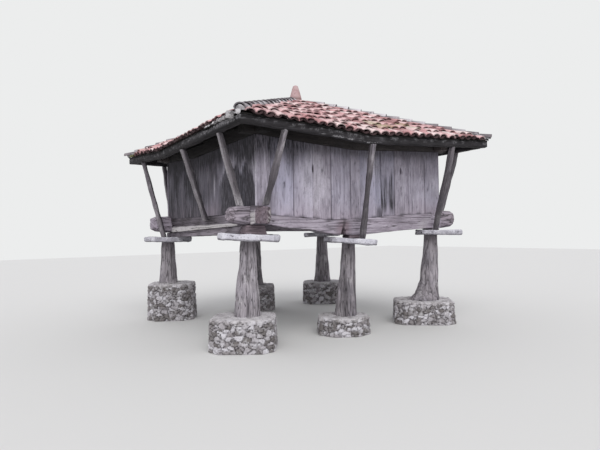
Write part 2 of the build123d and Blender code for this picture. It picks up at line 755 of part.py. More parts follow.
def jack_rafter(side, place):
    half = rafter_width / 2
    if side in ("front", "back"):
        sign = -1 if side == "front" else 1
        y0, y1 = sorted((sign * rafter_width / 2, sign * rafter_end_y))
        box = block(place - half, place + half, y0, y1, beam_level, 2 * apex_level)
    else:
        sign = -1 if side == "left" else 1
        x0, x1 = sorted((sign * rafter_width / 2, sign * rafter_end_x))
        box = block(x0, x1, place - half, place + half, beam_level, 2 * apex_level)
    with BuildPart() as jack:
        add(under_roof[side])
        add(box, mode=Mode.INTERSECT)
        add(hip_blades(hip_width + 2 * fit), mode=Mode.SUBTRACT)
        for clearance in plate_clearance:
            add(clearance, mode=Mode.SUBTRACT)
    return jack.part


def hip_rafter(sign_x, sign_y):
    sides = ("left" if sign_x < 0 else "right", "front" if sign_y < 0 else "back")
    x0, x1 = sorted((sign_x * fit, sign_x * rafter_end_x))
    y0, y1 = sorted((sign_y * fit, sign_y * rafter_end_y))
    with BuildPart() as hip:
        for side in sides:
            add(under_roof[side])
        add(block(x0, x1, y0, y1, beam_level, 2 * apex_level), mode=Mode.INTERSECT)
        add(hip_blades(hip_width), mode=Mode.INTERSECT)
        for clearance in plate_clearance:
            add(clearance, mode=Mode.SUBTRACT)
    return hip.part


rafter_spacing = 2 * half_x / rafter_count
with BuildPart() as roof_rafters:
    for sign_x in (-1, 1):
        for sign_y in (-1, 1):
            add(hip_rafter(sign_x, sign_y))
    for side in rings:
        for step in range(rafter_count):
            add(jack_rafter(side, (step - (rafter_count - 1) / 2) * rafter_spacing))

with BuildPart() as roof_boarding:
    for side, ring in rings.items():
        add(slope(ring, fit, boarding, 0).cut(hip_blades(2 * fit)))


def tile_slope(side):
    with BuildPart() as tiles:
        add(slope(rings[side], boarding + 2 * fit, tile_depth, tile_reach))
        add(hip_blades(2 * fit), mode=Mode.SUBTRACT)
    return tiles


front_tiles = tile_slope("front")
right_tiles = tile_slope("right")
back_tiles = tile_slope("back")
left_tiles = tile_slope("left")

# Hip tiles: a half-round capping down each hip, seated on the tiles
tile_top = boarding + tile_depth + 3 * fit
roof_depth = 2 * plate_depth
below_tiles = [slope(ring, tile_top - roof_depth, roof_depth, plate_depth) for ring in rings.values()]
crown = Vector(0, 0, apex_level + tile_top)


def hip_capping(ring_point):
    spread = 1 + tile_reach / eave_y
    foot = apex + (ring_point + Vector(0, 0, eave_depth) - apex) * spread + Vector(0, 0, tile_top)
    run = foot - crown
    with BuildPart() as capping:
        with BuildSketch(Plane(origin=crown - Vector(0, 0, hip_tile_radius * 0.55), z_dir=run)):
            Circle(hip_tile_radius)
        extrude(amount=run.length)
        for layer in below_tiles:
            add(layer, mode=Mode.SUBTRACT)
        with BuildSketch(Plane.XY.offset(apex_level - finial_height)):
            RegularPolygon(finial_foot + mortar_joint, 12)
        extrude(amount=3 * finial_height, mode=Mode.SUBTRACT)
    return capping.part


with BuildPart() as hip_tiles:
    for corner in (front_ring[0], front_ring[-1], back_ring[0], back_ring[-1]):
        add(hip_capping(corner))

# Finial: a blunt twelve-sided cone over the meeting of the hips
finial_seat = tile_top + boarding
with BuildPart() as roof_finial:
    with BuildSketch(Plane.XY.offset(apex_level - finial_head)):
        RegularPolygon(finial_foot, 12)
    extrude(amount=finial_head + finial_seat)
    with BuildSketch(Plane.XY.offset(apex_level + finial_seat)):
        RegularPolygon(finial_foot, 12)
    finial_cone = finial_height - boarding
    extrude(amount=finial_cone, taper=degrees(atan2(finial_foot - finial_head, finial_cone)))
    chamfer(roof_finial.edges().group_by(Axis.Z)[-1], finial_head * 0.35)
    for layer in below_tiles:
        add(layer, mode=Mode.SUBTRACT)

# Slanting struts under the eaves

# One strut, of squared timber with its corners taken off, from its foot to the underside of the eave beam
def strut(foot, head, foot_plane, head_plane):
    run = Vector(*head) - Vector(*foot)
    level_dir = Vector(0, 0, 1).cross(run)
    with BuildPart() as bar:
        with BuildSketch(Plane(origin=Vector(*foot) - run * 0.15, x_dir=level_dir, z_dir=run)):
            add(hewn(strut_size, strut_size, strut_size * 0.12))
        extrude(amount=run.length * 1.3)
        split(bisect_by=foot_plane, keep=Keep.TOP)
        split(bisect_by=head_plane, keep=Keep.BOTTOM)
    return bar.part


# Underside of an eave beam over one strut
def under_eave(line, place, along_x):
    rise = height_at(line, place + strut_size / 2) - height_at(line, place - strut_size / 2)
    slope_dir = Vector(strut_size, 0, rise) if along_x else Vector(0, strut_size, rise)
    side_dir = Vector(0, 1, 0) if along_x else Vector(-1, 0, 0)
    origin = (place, 0, height_at(line, place) - fit) if along_x else (0, place, height_at(line, place) - fit)
    return Plane(origin=origin, x_dir=slope_dir, z_dir=slope_dir.cross(side_dir))


def level_plane(z):
    return Plane.XY.offset(z + fit)


mid_y = eave_y - eave_width / 2
mid_x = eave_x - eave_width / 2


def front_strut(x0, y0, x1, z0, foot_plane):
    head = (x1, -mid_y, height_at(front_eave, x1))
    return strut((x0, -y0, z0), head, foot_plane, under_eave(front_eave, x1, True))


def back_strut(x0, y0, x1, z0, foot_plane):
    head = (x1, mid_y, height_at(back_eave, x1))
    return strut((x0, y0, z0), head, foot_plane, under_eave(back_eave, x1, True))


def left_strut(x0, y0, y1, z0, foot_plane):
    head = (-mid_x, y1, height_at(left_eave, y1))
    return strut((-x0, y0, z0), head, foot_plane, under_eave(left_eave, y1, False))


def right_strut(x0, y0, y1, z0, foot_plane):
    head = (mid_x, y1, height_at(right_eave, y1))
    return strut((x0, y0, z0), head, foot_plane, under_eave(right_eave, y1, False))


# Struts stand on the beam ends outside the walls, on the capping stones, or in a ground beam's outer face
end_y = half_y + block_reach * 0.5
stone_y = half_y + strut_size * 1.3
log_x = half_x + log_reach * 0.43
back_log_x = half_x + log_reach * 0.37
face_x = half_x + strut_size * 0.83
notch_level = foot_level - strut_size
head_x = eave_x * 0.71
head_y = eave_y * 0.71

with BuildPart() as front_struts:
    add(front_strut(-corner_x, (half_y + head_reach) / 2, -head_x, left_end_top, level_plane(left_end_top)))
    add(front_strut(-half_x * 0.02, stone_y, -half_x * 0.10, front_middle_bed.origin.Z, front_middle_bed))
    strut_start = corner_x - beam_width * 0.6
    add(front_strut(strut_start, stone_y, head_x * 0.915, front_right_bed.origin.Z, front_right_bed))
    for beam in (front_ground_beam, left_ground_beam):
        add(beam.part, mode=Mode.SUBTRACT)

log_top_left = height_at(front_high, -half_x * 1.1)
log_top_right = height_at(front_high, half_x * 1.1)
with BuildPart() as left_struts:
    add(left_strut(log_x, -corner_y, -head_y, log_top_left, level_plane(log_top_left - 12)))
    add(left_strut(face_x, -half_y * 0.12, -head_y * 0.215, notch_level, level_plane(notch_level)))
    add(left_strut(
        log_x, corner_y - beam_width * 0.97, head_y * 0.964, back_left_bed.origin.Z, back_left_bed))
    for beam in (front_ground_beam, back_ground_beam, left_ground_beam):
        add(beam.part, mode=Mode.SUBTRACT)

back_top_right = height_at(back_high, half_x * 1.1)
with BuildPart() as right_struts:
    add(right_strut(back_log_x, -corner_y, -head_y * 1.027, log_top_right, level_plane(log_top_right - 12)))
    add(right_strut(face_x, 0, half_y * 0.017, notch_level, level_plane(notch_level)))
    add(right_strut(back_log_x, corner_y, head_y * 1.027, back_top_right, level_plane(back_top_right - 12)))
    for beam in (front_ground_beam, back_ground_beam, right_ground_beam):
        add(beam.part, mode=Mode.SUBTRACT)

left_back_top = height_at(left_high, half_y * 1.06)
right_back_top = height_at(right_high, half_y * 1.06)
with BuildPart() as back_struts:
    add(back_strut(-corner_x, end_y, -head_x, left_back_top, level_plane(left_back_top)))
    add(back_strut(half_x * 0.016, stone_y, half_x * 0.025, back_middle_bed.origin.Z, back_middle_bed))
    add(back_strut(corner_x, end_y, head_x, right_back_top, level_plane(right_back_top)))
    for beam in (back_ground_beam, left_ground_beam, right_ground_beam):
        add(beam.part, mode=Mode.SUBTRACT)

# Files

front_left_plinth.part.label = "front_left_plinth"
export_step(front_left_plinth.part, "parts/front_left_plinth.step")
front_middle_plinth.part.label = "front_middle_plinth"
export_step(front_middle_plinth.part, "parts/front_middle_plinth.step")
front_right_plinth.part.label = "front_right_plinth"
export_step(front_right_plinth.part, "parts/front_right_plinth.step")
back_left_plinth.part.label = "back_left_plinth"
export_step(back_left_plinth.part, "parts/back_left_plinth.step")
back_middle_plinth.part.label = "back_middle_plinth"
export_step(back_middle_plinth.part, "parts/back_middle_plinth.step")
back_right_plinth.part.label = "back_right_plinth"
export_step(back_right_plinth.part, "parts/back_right_plinth.step")

front_left_post.part.label = "front_left_post"
export_step(front_left_post.part, "parts/front_left_post.step")
front_middle_post.part.label = "front_middle_post"
export_step(front_middle_post.part, "parts/front_middle_post.step")
front_right_post.part.label = "front_right_post"
export_step(front_right_post.part, "parts/front_right_post.step")
back_left_post.part.label = "back_left_post"
export_step(back_left_post.part, "parts/back_left_post.step")
back_middle_post.part.label = "back_middle_post"
export_step(back_middle_post.part, "parts/back_middle_post.step")
back_right_post.part.label = "back_right_post"
export_step(back_right_post.part, "parts/back_right_post.step")

front_left_stone.part.label = "front_left_stone"
export_step(front_left_stone.part, "parts/front_left_stone.step")
front_middle_stone.part.label = "front_middle_stone"
export_step(front_middle_stone.part, "parts/front_middle_stone.step")
front_right_stone.part.label = "front_right_stone"
export_step(front_right_stone.part, "parts/front_right_stone.step")
back_left_stone.part.label = "back_left_stone"
export_step(back_left_stone.part, "parts/back_left_stone.step")
back_middle_stone.part.label = "back_middle_stone"
export_step(back_middle_stone.part, "parts/back_middle_stone.step")
back_right_stone.part.label = "back_right_stone"
export_step(back_right_stone.part, "parts/back_right_stone.step")

bearing_blocks.part.label = "bearing_blocks"
export_step(bearing_blocks.part, "parts/bearing_blocks.step")
left_sill_log.part.label = "left_sill_log"
export_step(left_sill_log.part, "parts/left_sill_log.step")
front_ground_beam.part.label = "front_ground_beam"
export_step(front_ground_beam.part, "parts/front_ground_beam.step")
back_ground_beam.part.label = "back_ground_beam"
export_step(back_ground_beam.part, "parts/back_ground_beam.step")
left_ground_beam.part.label = "left_ground_beam"
export_step(left_ground_beam.part, "parts/left_ground_beam.step")
right_ground_beam.part.label = "right_ground_beam"
export_step(right_ground_beam.part, "parts/right_ground_beam.step")

floor_joists.part.label = "floor_joists"
export_step(floor_joists.part, "parts/floor_joists.step")
floor_boards.part.label = "floor_boards"
export_step(floor_boards.part, "parts/floor_boards.step")
front_wall.part.label = "front_wall"
export_step(front_wall.part, "parts/front_wall.step")
back_wall.part.label = "back_wall"
export_step(back_wall.part, "parts/back_wall.step")
left_wall.part.label = "left_wall"
export_step(left_wall.part, "parts/left_wall.step")
right_wall.part.label = "right_wall"
export_step(right_wall.part, "parts/right_wall.step")

front_wall_plate.part.label = "front_wall_plate"
export_step(front_wall_plate.part, "parts/front_wall_plate.step")
back_wall_plate.part.label = "back_wall_plate"
export_step(back_wall_plate.part, "parts/back_wall_plate.step")
left_wall_plate.part.label = "left_wall_plate"
export_step(left_wall_plate.part, "parts/left_wall_plate.step")
right_wall_plate.part.label = "right_wall_plate"
export_step(right_wall_plate.part, "parts/right_wall_plate.step")

front_struts.part.label = "front_struts"
export_step(front_struts.part, "parts/front_struts.step")
back_struts.part.label = "back_struts"
export_step(back_struts.part, "parts/back_struts.step")
left_struts.part.label = "left_struts"
export_step(left_struts.part, "parts/left_struts.step")
right_struts.part.label = "right_struts"
export_step(right_struts.part, "parts/right_struts.step")

eave_beams.part.label = "eave_beams"
export_step(eave_beams.part, "parts/eave_beams.step")
roof_rafters.part.label = "roof_rafters"
export_step(roof_rafters.part, "parts/roof_rafters.step")
roof_boarding.part.label = "roof_boarding"
export_step(roof_boarding.part, "parts/roof_boarding.step")
front_tiles.part.label = "front_tiles"
export_step(front_tiles.part, "parts/front_tiles.step")
back_tiles.part.label = "back_tiles"
export_step(back_tiles.part, "parts/back_tiles.step")
left_tiles.part.label = "left_tiles"
export_step(left_tiles.part, "parts/left_tiles.step")
right_tiles.part.label = "right_tiles"
export_step(right_tiles.part, "parts/right_tiles.step")
hip_tiles.part.label = "hip_tiles"
export_step(hip_tiles.part, "parts/hip_tiles.step")
roof_finial.part.label = "roof_finial"
export_step(roof_finial.part, "parts/roof_finial.step")
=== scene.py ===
import bpy
import math
import random
from itertools import product
from mathutils import Matrix, Vector, kdtree, noise
from mathutils.bvhtree import BVHTree


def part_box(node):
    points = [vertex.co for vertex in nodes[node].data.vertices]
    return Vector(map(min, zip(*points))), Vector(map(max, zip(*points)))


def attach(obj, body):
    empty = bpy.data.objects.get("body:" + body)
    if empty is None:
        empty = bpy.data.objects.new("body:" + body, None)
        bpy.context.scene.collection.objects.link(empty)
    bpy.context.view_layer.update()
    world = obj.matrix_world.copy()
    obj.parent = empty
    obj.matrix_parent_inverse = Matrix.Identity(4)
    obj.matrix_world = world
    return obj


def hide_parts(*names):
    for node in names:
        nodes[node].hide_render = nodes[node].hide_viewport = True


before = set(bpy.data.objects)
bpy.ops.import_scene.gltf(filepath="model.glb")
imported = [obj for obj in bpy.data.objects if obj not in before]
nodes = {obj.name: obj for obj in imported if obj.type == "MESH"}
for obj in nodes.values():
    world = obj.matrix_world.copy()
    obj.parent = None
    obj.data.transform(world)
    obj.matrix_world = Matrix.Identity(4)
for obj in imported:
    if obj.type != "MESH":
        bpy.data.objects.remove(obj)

noise.seed_set(1)  # the masonry's noise vectors are drawn from this seed
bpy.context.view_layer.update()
for name in ("Cube", "Light", "Camera"):
    if name in bpy.data.objects:
        bpy.data.objects.remove(bpy.data.objects[name])
print("granary: frame loaded,", len(nodes), "nodes")


def pick(*pieces):  # select only these, the first one active
    bpy.ops.object.select_all(action="DESELECT")
    for piece in pieces:
        piece.select_set(True)
    bpy.context.view_layer.objects.active = pieces[0]


def openMesh(piece):
    pick(piece)
    bpy.ops.object.mode_set(mode="EDIT")
    bpy.ops.mesh.select_all(action="SELECT")


def closeMesh():
    bpy.ops.object.mode_set(mode="OBJECT")


def newPiece(name, data):
    piece = bpy.data.objects.new(name, data)
    bpy.context.scene.collection.objects.link(piece)
    return piece


def camelName(nodeName):  # front_left_post to frontLeftPost
    first, *rest = nodeName.split("_")
    return first + "".join(word.title() for word in rest)


def copyOf(nodeName, pieceName):  # a copy of a node's solids, its loose triangles merged
    piece = newPiece(pieceName, nodes[nodeName].data.copy())
    openMesh(piece)
    bpy.ops.mesh.remove_doubles(threshold=0.0001)
    bpy.ops.mesh.normals_make_consistent(inside=False)
    closeMesh()
    return piece


def looseParts(piece):
    openMesh(piece)
    bpy.ops.mesh.separate(type="LOOSE")
    closeMesh()
    return list(bpy.context.selected_objects)


def joinParts(parts, name):
    pick(*parts)
    if len(parts) > 1:
        bpy.ops.object.join()
    piece = bpy.context.view_layer.objects.active
    piece.name = name
    piece.data.name = name
    return piece


def applyModifier(piece, kind, settings):
    modifier = piece.modifiers.new(kind.title(), kind)
    for key, value in settings.items():
        setattr(modifier, key, value)
    pick(piece)
    bpy.ops.object.modifier_apply(modifier=modifier.name)


def remesh(piece, voxel):
    applyModifier(piece, "REMESH", {"mode": "VOXEL", "voxel_size": voxel})


def store(piece, masks, grain=()):  # masks hold one number a point, grain its place across and along the fibres
    if grain:
        piece.data.attributes.new("grain", "FLOAT_VECTOR", "POINT").data.foreach_set("vector", grain)
    for layer, values in masks.items():
        piece.data.attributes.new(layer, "FLOAT", "POINT").data.foreach_set("value", values)


def reshape(piece, layers, change):  # change gives each point's new place and its number in every layer
    results = [change(v.co.copy(), v.normal.copy()) for v in piece.data.vertices]
    piece.data.vertices.foreach_set("co", [c for place, numbers in results for c in place])
    piece.data.update()
    store(piece, dict(zip(layers, zip(*(numbers for place, numbers in results)))))


def hand(piece, material, slot, *replaced):  # finish, body, and the nodes that the piece stands for
    piece.data.materials.clear()
    piece.data.materials.append(material)
    pick(piece)
    bpy.ops.object.shade_smooth_by_angle(angle=math.radians(38))
    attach(piece, "root")
    if replaced:
        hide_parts(*replaced)


def ease(low, high, value):  # 0 below low, 1 above high, smooth between
    share = min(1.0, max(0.0, (value - low) / (high - low)))
    return share * share * (3 - 2 * share)


def noiseAt(x, y, z):
    return noise.noise(Vector((x, y, z)))


def castTree(nodeName):
    mesh = nodes[nodeName].data
    return BVHTree.FromPolygons([v.co for v in mesh.vertices], [tuple(p.vertices) for p in mesh.polygons])


def plumb(tree, x, y, above=True):  # where an upright line first meets the solids, and the normal there
    start, way = (9, -1) if above else (0, 1)
    return tree.ray_cast(Vector((x, y, start)), Vector((0, 0, way)))[:2]


def toLinear(code):  # sRGB hex to Blender's linear colour
    values = [int(code[i:i + 2], 16) / 255 for i in (1, 3, 5)]
    return tuple(v / 12.92 if v <= 0.04045 else ((v + 0.055) / 1.055) ** 2.4 for v in values) + (1.0,)


def addNode(tree, kind, settings):  # a setting is a value, an output, or a node that stands for its first output
    node = tree.nodes.new("ShaderNode" + kind)
    for key, value in settings.items():
        if key == "stops":
            ramp = node.color_ramp
            while len(ramp.elements) < len(value):
                ramp.elements.new(0.5)
            for element, (place, colour) in zip(ramp.elements, value):
                element.position = place
                element.color = toLinear(colour) if isinstance(colour, str) else (colour, colour, colour, 1)
        elif isinstance(value, bpy.types.Node):
            tree.links.new(value.outputs[0], node.inputs[key])
        elif isinstance(value, bpy.types.NodeSocket):
            tree.links.new(value, node.inputs[key])
        elif isinstance(key, int) or key[0].isupper():
            node.inputs[key].default_value = value
        else:
            setattr(node, key, value)
    return node


def newMaterial(name):
    material = bpy.data.materials.new(name)
    material.use_nodes = True
    material.node_tree.nodes.clear()
    return material, material.node_tree


def paintOver(tree, colour, look, fields, layers):  # each layer shows where its noise field and its mask let it
    for layer, field, low, high, least, most, mask, way in layers:
        if layer not in look:
            continue
        share = addNode(tree, "MapRange", {
            "From Min": low, "From Max": high, "To Min": least, "To Max": most, "Value": fields[field]})
        if mask:
            masked = addNode(tree, "Attribute", {"attribute_name": mask}).outputs["Fac"]
            share = addNode(tree, "Math", {"operation": way, "use_clamp": True, 0: share, 1: masked})
        colour = addNode(tree, "Mix", {"data_type": "RGBA", 0: share, 6: colour, 7: toLinear(look[layer])}).outputs[2]
    return colour


# Camera where the photograph was taken from, a little under the sills
view = {"place": (-7.1765, -10.9193, 2.12), "right": (0.83327106, -0.55260966, -0.01678981),
        "forward": (0.5528258, 0.83318825, 0.01345254), "lens": 32.04, "sensor": 36, "far": 200}
right = Vector(view["right"]).normalized()
forward = Vector(view["forward"]).normalized()
up = right.cross(forward).normalized()
camera = newPiece("camera", bpy.data.cameras.new("camera"))
camera.matrix_world = Matrix.Translation(view["place"]) @ Matrix((right, up, -forward)).transposed().to_4x4()
camera.data.sensor_width = view["sensor"]
camera.data.lens = view["lens"]
camera.data.clip_end = view["far"]
bpy.context.scene.camera = camera
bpy.context.scene.view_settings.view_transform = "Standard"

# Overcast light: a pale even sky and one broad lamp high on the left
light = {"sky": "#e9eaee", "skyStrength": 0.95, "backdrop": "#eceded", "sun": 1.6, "sunSpread": 50,
         "sunTilt": 46, "sunTurn": -28, "floor": "#d3d2d0", "floorSize": 90, "floorDrop": 0.002}
world = bpy.data.worlds.new("paleSky")
bpy.context.scene.world = world
world.use_nodes = True
tree = world.node_tree
tree.nodes.clear()
path = addNode(tree, "LightPath", {})
seen = addNode(tree, "Background", {"Color": toLinear(light["backdrop"]), "Strength": 1.0})
soft = addNode(tree, "Background", {"Color": toLinear(light["sky"]), "Strength": light["skyStrength"]})
both = addNode(tree, "MixShader", {0: path.outputs["Is Camera Ray"], 1: soft, 2: seen})
addNode(tree, "OutputWorld", {"Surface": both})
sun = newPiece("broadLamp", bpy.data.lights.new("broadLamp", "SUN"))
sun.data.energy = light["sun"]
sun.data.angle = math.radians(light["sunSpread"])
sun.rotation_euler = (math.radians(light["sunTilt"]), 0, math.radians(light["sunTurn"]))

bpy.ops.mesh.primitive_plane_add(size=light["floorSize"], location=(0, 0, -light["floorDrop"]))
floor = bpy.context.active_object
floor.name = "floor"
bpy.ops.object.transform_apply(location=True)
floorPaint, tree = newMaterial("palePaintedFloor")
floorShade = addNode(tree, "BsdfPrincipled", {"Base Color": toLinear(light["floor"]), "Roughness": 0.9})
addNode(tree, "OutputMaterial", {"Surface": floorShade})
floor.data.materials.append(floorPaint)
print("granary: camera, light and floor")

anyWood = {"patch": 2.2, "spread": 0.13, "check": 0.6, "fleck": 0.5, "bump": 0.8, "relief": 0.006, "speckle": 0.35}


# Weathered wood: soft fibres worn away between the hard ones, long checks, grey on the outside and
# brown where it is sheltered. "grain" holds each piece's own place across and along its fibres.
def weatheredWood(name, look, ownGrain=True):
    material, tree = newMaterial(name)
    look = {**anyWood, **look}
    place = addNode(tree, "TexCoord", {}).outputs["Object"]
    grain = addNode(tree, "Attribute", {"attribute_name": "grain"}).outputs["Vector"] if ownGrain else place
    fine, long = 1 / look["fibre"], 1 / look["run"]
    fields = {}
    for field, start, scale, detail, roughness in (
            ("fibres", (0, 0, 0), (fine, fine, long * 4), 4.0, 0.65),
            ("streaks", (0, 0, 0), (fine / 3, fine / 3, long), 3.0, 0.55),
            ("checks", (3, 7, 1), (fine / 4, fine / 4, long * 0.4), 1.0, 0.5),
            ("flecks", (5, 2, 9), (32, 32, 8), 3.0, 0.7)):  # flecks 31 mm wide and 125 mm long
        stretched = addNode(tree, "Mapping", {"Location": start, "Scale": scale, "Vector": grain})
        fields[field] = addNode(tree, "TexNoise", {
            "Scale": 1.0, "Detail": detail, "Roughness": roughness, "Vector": stretched})
    for field, scale, detail, roughness in (
            ("patches", look["patch"], 4.0, 0.6), ("spots", 28.0, 5.0, 0.7)):  # lichen spots of 36 mm
        fields[field] = addNode(tree, "TexNoise", {
            "Scale": scale, "Detail": detail, "Roughness": roughness, "Vector": place})
    line = addNode(tree, "ValToRGB", {"stops": [(0.482, 0.0), (0.5, 1.0), (0.518, 0.0)], "Fac": fields["checks"]})
    blend = addNode(tree, "Mix", {0: 0.5, 2: fields["fibres"], 3: fields["streaks"]})
    blend = addNode(tree, "Mix", {0: 0.3, 2: blend, 3: fields["patches"]})
    stops = [(0.5 - look["spread"], look["dark"]), (0.5, look["mid"]), (0.5 + look["spread"], look["light"])]
    colour = addNode(tree, "ValToRGB", {"stops": stops, "Fac": blend})
    if ownGrain:
        tone = addNode(tree, "Attribute", {"attribute_name": "tone"}).outputs["Fac"]
        shade = addNode(tree, "Math", {"operation": "MULTIPLY_ADD", 0: tone, 1: 0.3, 2: 1.0})
        colour = addNode(tree, "VectorMath", {"operation": "SCALE", 0: colour, "Scale": shade})
        # stain paints real stains and painted shade alike: the band under the roof, undersides, and the parts standing
        # in shade
        colour = paintOver(tree, colour, look, fields, (
            ("cool", "patches", 0.35, 0.6, 0.35, 1, "cool", "MULTIPLY"),
            ("warm", "patches", 0.35, 0.55, 0.35, 1, "warm", "MULTIPLY"),
            ("pale", "spots", 0.42, 0.56, look["speckle"], 1, "pale", "MULTIPLY"),
            ("stain", "fibres", 0.36, 0.62, 0.62, 1, "stain", "MULTIPLY")))
    fleck = addNode(tree, "MapRange", {
        "From Min": 0.55, "From Max": 0.72, "To Max": look["fleck"], "Value": fields["flecks"]})
    crack = addNode(tree, "Math", {"operation": "MULTIPLY", 0: line, 1: look["check"]})
    shadow = addNode(tree, "Math", {"operation": "MAXIMUM", 0: crack, 1: fleck})
    colour = addNode(tree, "Mix", {"data_type": "RGBA", 0: shadow, 6: colour, 7: toLinear(look["deep"])}).outputs[2]
    height = addNode(tree, "Math", {"operation": "MULTIPLY_ADD", 0: line, 1: -0.9, 2: blend})
    bump = addNode(tree, "Bump", {"Strength": look["bump"], "Distance": look["relief"], "Height": height})
    gloss = addNode(tree, "MapRange", {"To Min": 0.78, "To Max": 0.96, "Value": fields["fibres"]})
    shader = addNode(tree, "BsdfPrincipled", {
        "Base Color": colour, "Roughness": gloss, "Specular IOR Level": 0.3, "Normal": bump})
    addNode(tree, "OutputMaterial", {"Surface": shader})
    return material


# Grain widths are real growth fibres drawn about three times too coarse, so that they show at this distance
plankWood = weatheredWood("sawnChestnutPlank", {
    "dark": "#7c7680", "mid": "#a29ba7", "light": "#c0bac6", "warm": "#a08f98", "pale": "#cdc8d2", "cool": "#b5b2c6",
    "stain": "#38363b", "deep": "#39353a", "fibre": 0.021, "run": 0.7, "patch": 1.6, "spread": 0.15, "check": 0.36,
    "bump": 0.7})
beamWood = weatheredWood("hewnChestnutBeam", {
    "dark": "#7a727b", "mid": "#a79eaa", "light": "#c6bfca", "warm": "#83727a", "pale": "#cbc7c6", "stain": "#3a3538",
    "deep": "#2b2528", "speckle": 0.6, "fibre": 0.020, "run": 1.0, "patch": 2.0, "spread": 0.15, "check": 0.8,
    "fleck": 0.6, "bump": 0.9, "relief": 0.010})
postWood = weatheredWood("hewnOakTrunk", {
    "dark": "#726d73", "mid": "#9d98a0", "light": "#c0bbc2", "warm": "#8f8480", "pale": "#d0ccce", "stain": "#3d393c",
    "deep": "#2c292c", "fibre": 0.018, "run": 0.6, "patch": 2.5, "check": 0.8, "fleck": 0.7,
    "bump": 1.0, "relief": 0.012})
strutWood = weatheredWood("splitChestnutStrut", {
    "dark": "#5f5a60", "mid": "#8d8790", "light": "#bab4bd", "warm": "#827873", "pale": "#cfcbce", "stain": "#39363a",
    "deep": "#262326", "fibre": 0.010, "run": 0.6, "patch": 2.5, "check": 0.7})
plateWood = weatheredWood("shadeDarkenedChestnutPlate", {
    "dark": "#373335", "mid": "#4f4a4c", "light": "#6d6669", "warm": "#574a46", "pale": "#8d8788", "stain": "#171617",
    "deep": "#1a181a", "fibre": 0.014, "run": 0.9, "spread": 0.15, "relief": 0.008})
eaveWood = weatheredWood("rainStainedShadeDarkenedEaveBeam", {
    "dark": "#1b1a1c", "mid": "#2e2c2f", "light": "#4a484d", "warm": "#393232", "pale": "#b1afb3", "stain": "#121113",
    "deep": "#0d0c0e", "speckle": 0.0, "fibre": 0.014, "run": 0.8, "fleck": 0.4, "relief": 0.008})
print("granary: wood finishes")

# Every timber's skin moves as weather moves it: soft ripples along the grain, long open checks, worn lumps
anyTimber = {"tone": 0, "crackCell": 0.12, "crackRun": 2.8, "crackWidth": 0.055, "fray": 9, "frayLength": 0.2,
             "frayDepth": 0.035, "splinter": 0.05, "rippleCell": 0.05, "rippleRun": 1.3, "lumps": 3.2}


def weather(piece, timber, shade, seed):
    along = timber["along"].normalized()
    side = along.orthogonal().normalized()
    other = along.cross(side)
    draw = random.Random(seed)
    shift = Vector([draw.uniform(-50, 50) for axis in range(3)])
    tone = timber["tone"] + draw.uniform(-0.12, 0.12)
    rippleCell, crackCell = timber["rippleCell"], timber["crackCell"]
    grain = []

    def worn(p, n):
        u, t, w = p.dot(side), p.dot(other), p.dot(along)
        ripple = noise.noise(Vector((u / rippleCell, t / rippleCell, w / timber["rippleRun"])) + shift)
        check = noise.noise(Vector((u / crackCell, t / crackCell, w / timber["crackRun"])) - shift)
        split = 1 - abs(check) / timber["crackWidth"]
        lump = noise.noise(p * timber["lumps"] + shift)
        end = abs(n.dot(along)) ** 2
        frayed = ease(timber["fray"], timber["fray"] + timber["frayLength"], abs(w))
        move = ripple * timber["ripple"] + lump * timber["lump"] - max(0.0, split) * timber["split"]
        move -= frayed * timber["frayDepth"] * max(0.0, noise.noise(Vector((u * 15, t * 15, w * 1.6)) + shift))
        splinter = frayed * end * timber["splinter"] * noise.noise(Vector((u * 17, t * 17, 3)) + shift)
        grain.extend((u + shift.x, t + shift.y, w + shift.z))
        warm, pale, stain = shade(p, n)
        return (p + n * (move * (1 - 0.85 * end)) - along * math.copysign(abs(splinter), w),
                (tone + 0.5 * lump, warm, pale, max(stain, 0.8 * split)))

    reshape(piece, ("tone", "warm", "pale", "stain"), worn)
    store(piece, {}, grain)


def lengthwise(piece):  # direction from the lower end of a leaning bar to its upper end
    points = sorted((v.co.copy() for v in piece.data.vertices), key=lambda p: p.z)
    few = max(4, len(points) // 40)
    return sum(points[-few:], Vector()) - sum(points[:few], Vector())


def timberFrom(nodeName, timber, shade, material, slot):
    parts = looseParts(copyOf(nodeName, camelName(nodeName)))
    for number, part in enumerate(parts):
        bar = {**anyTimber, **timber}
        if "along" not in bar:
            bar["along"] = Vector((1, 0, 0)) if part.dimensions.x > part.dimensions.y else Vector((0, 1, 0))
        if bar["along"] is None:
            bar["along"] = lengthwise(part)
        remesh(part, bar["voxel"])
        weather(part, bar, shade, bar["seed"] + number)
    piece = joinParts(parts, camelName(nodeName))
    hand(piece, material, slot, nodeName)
    return piece


# Ground beams: heavy hewn timbers, grey with a brown-pink cast, split at their ends
groundBeam = {"voxel": 0.019, "ripple": 0.006, "split": 0.014, "lump": 0.008, "crackRun": 5.5, "crackWidth": 0.045,
              "fray": 2.5, "seed": 11}
cleftAt = {"x": -0.42, "z": 2.17, "reach": 0.30, "lean": 0.25}  # the break of the front beam
low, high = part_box("left_ground_beam")
head = {"middle": Vector((low.x + 0.18, low.y, high.z - 0.17)), "start": -2.36, "end": -2.5, "chip": 0.03}


def checksAt(p, width):  # long open checks of a log, 1 in the crack
    return ease(0.07, 0.0, abs(noiseAt(p.x * 0.9, p.y / width, p.z / width)))


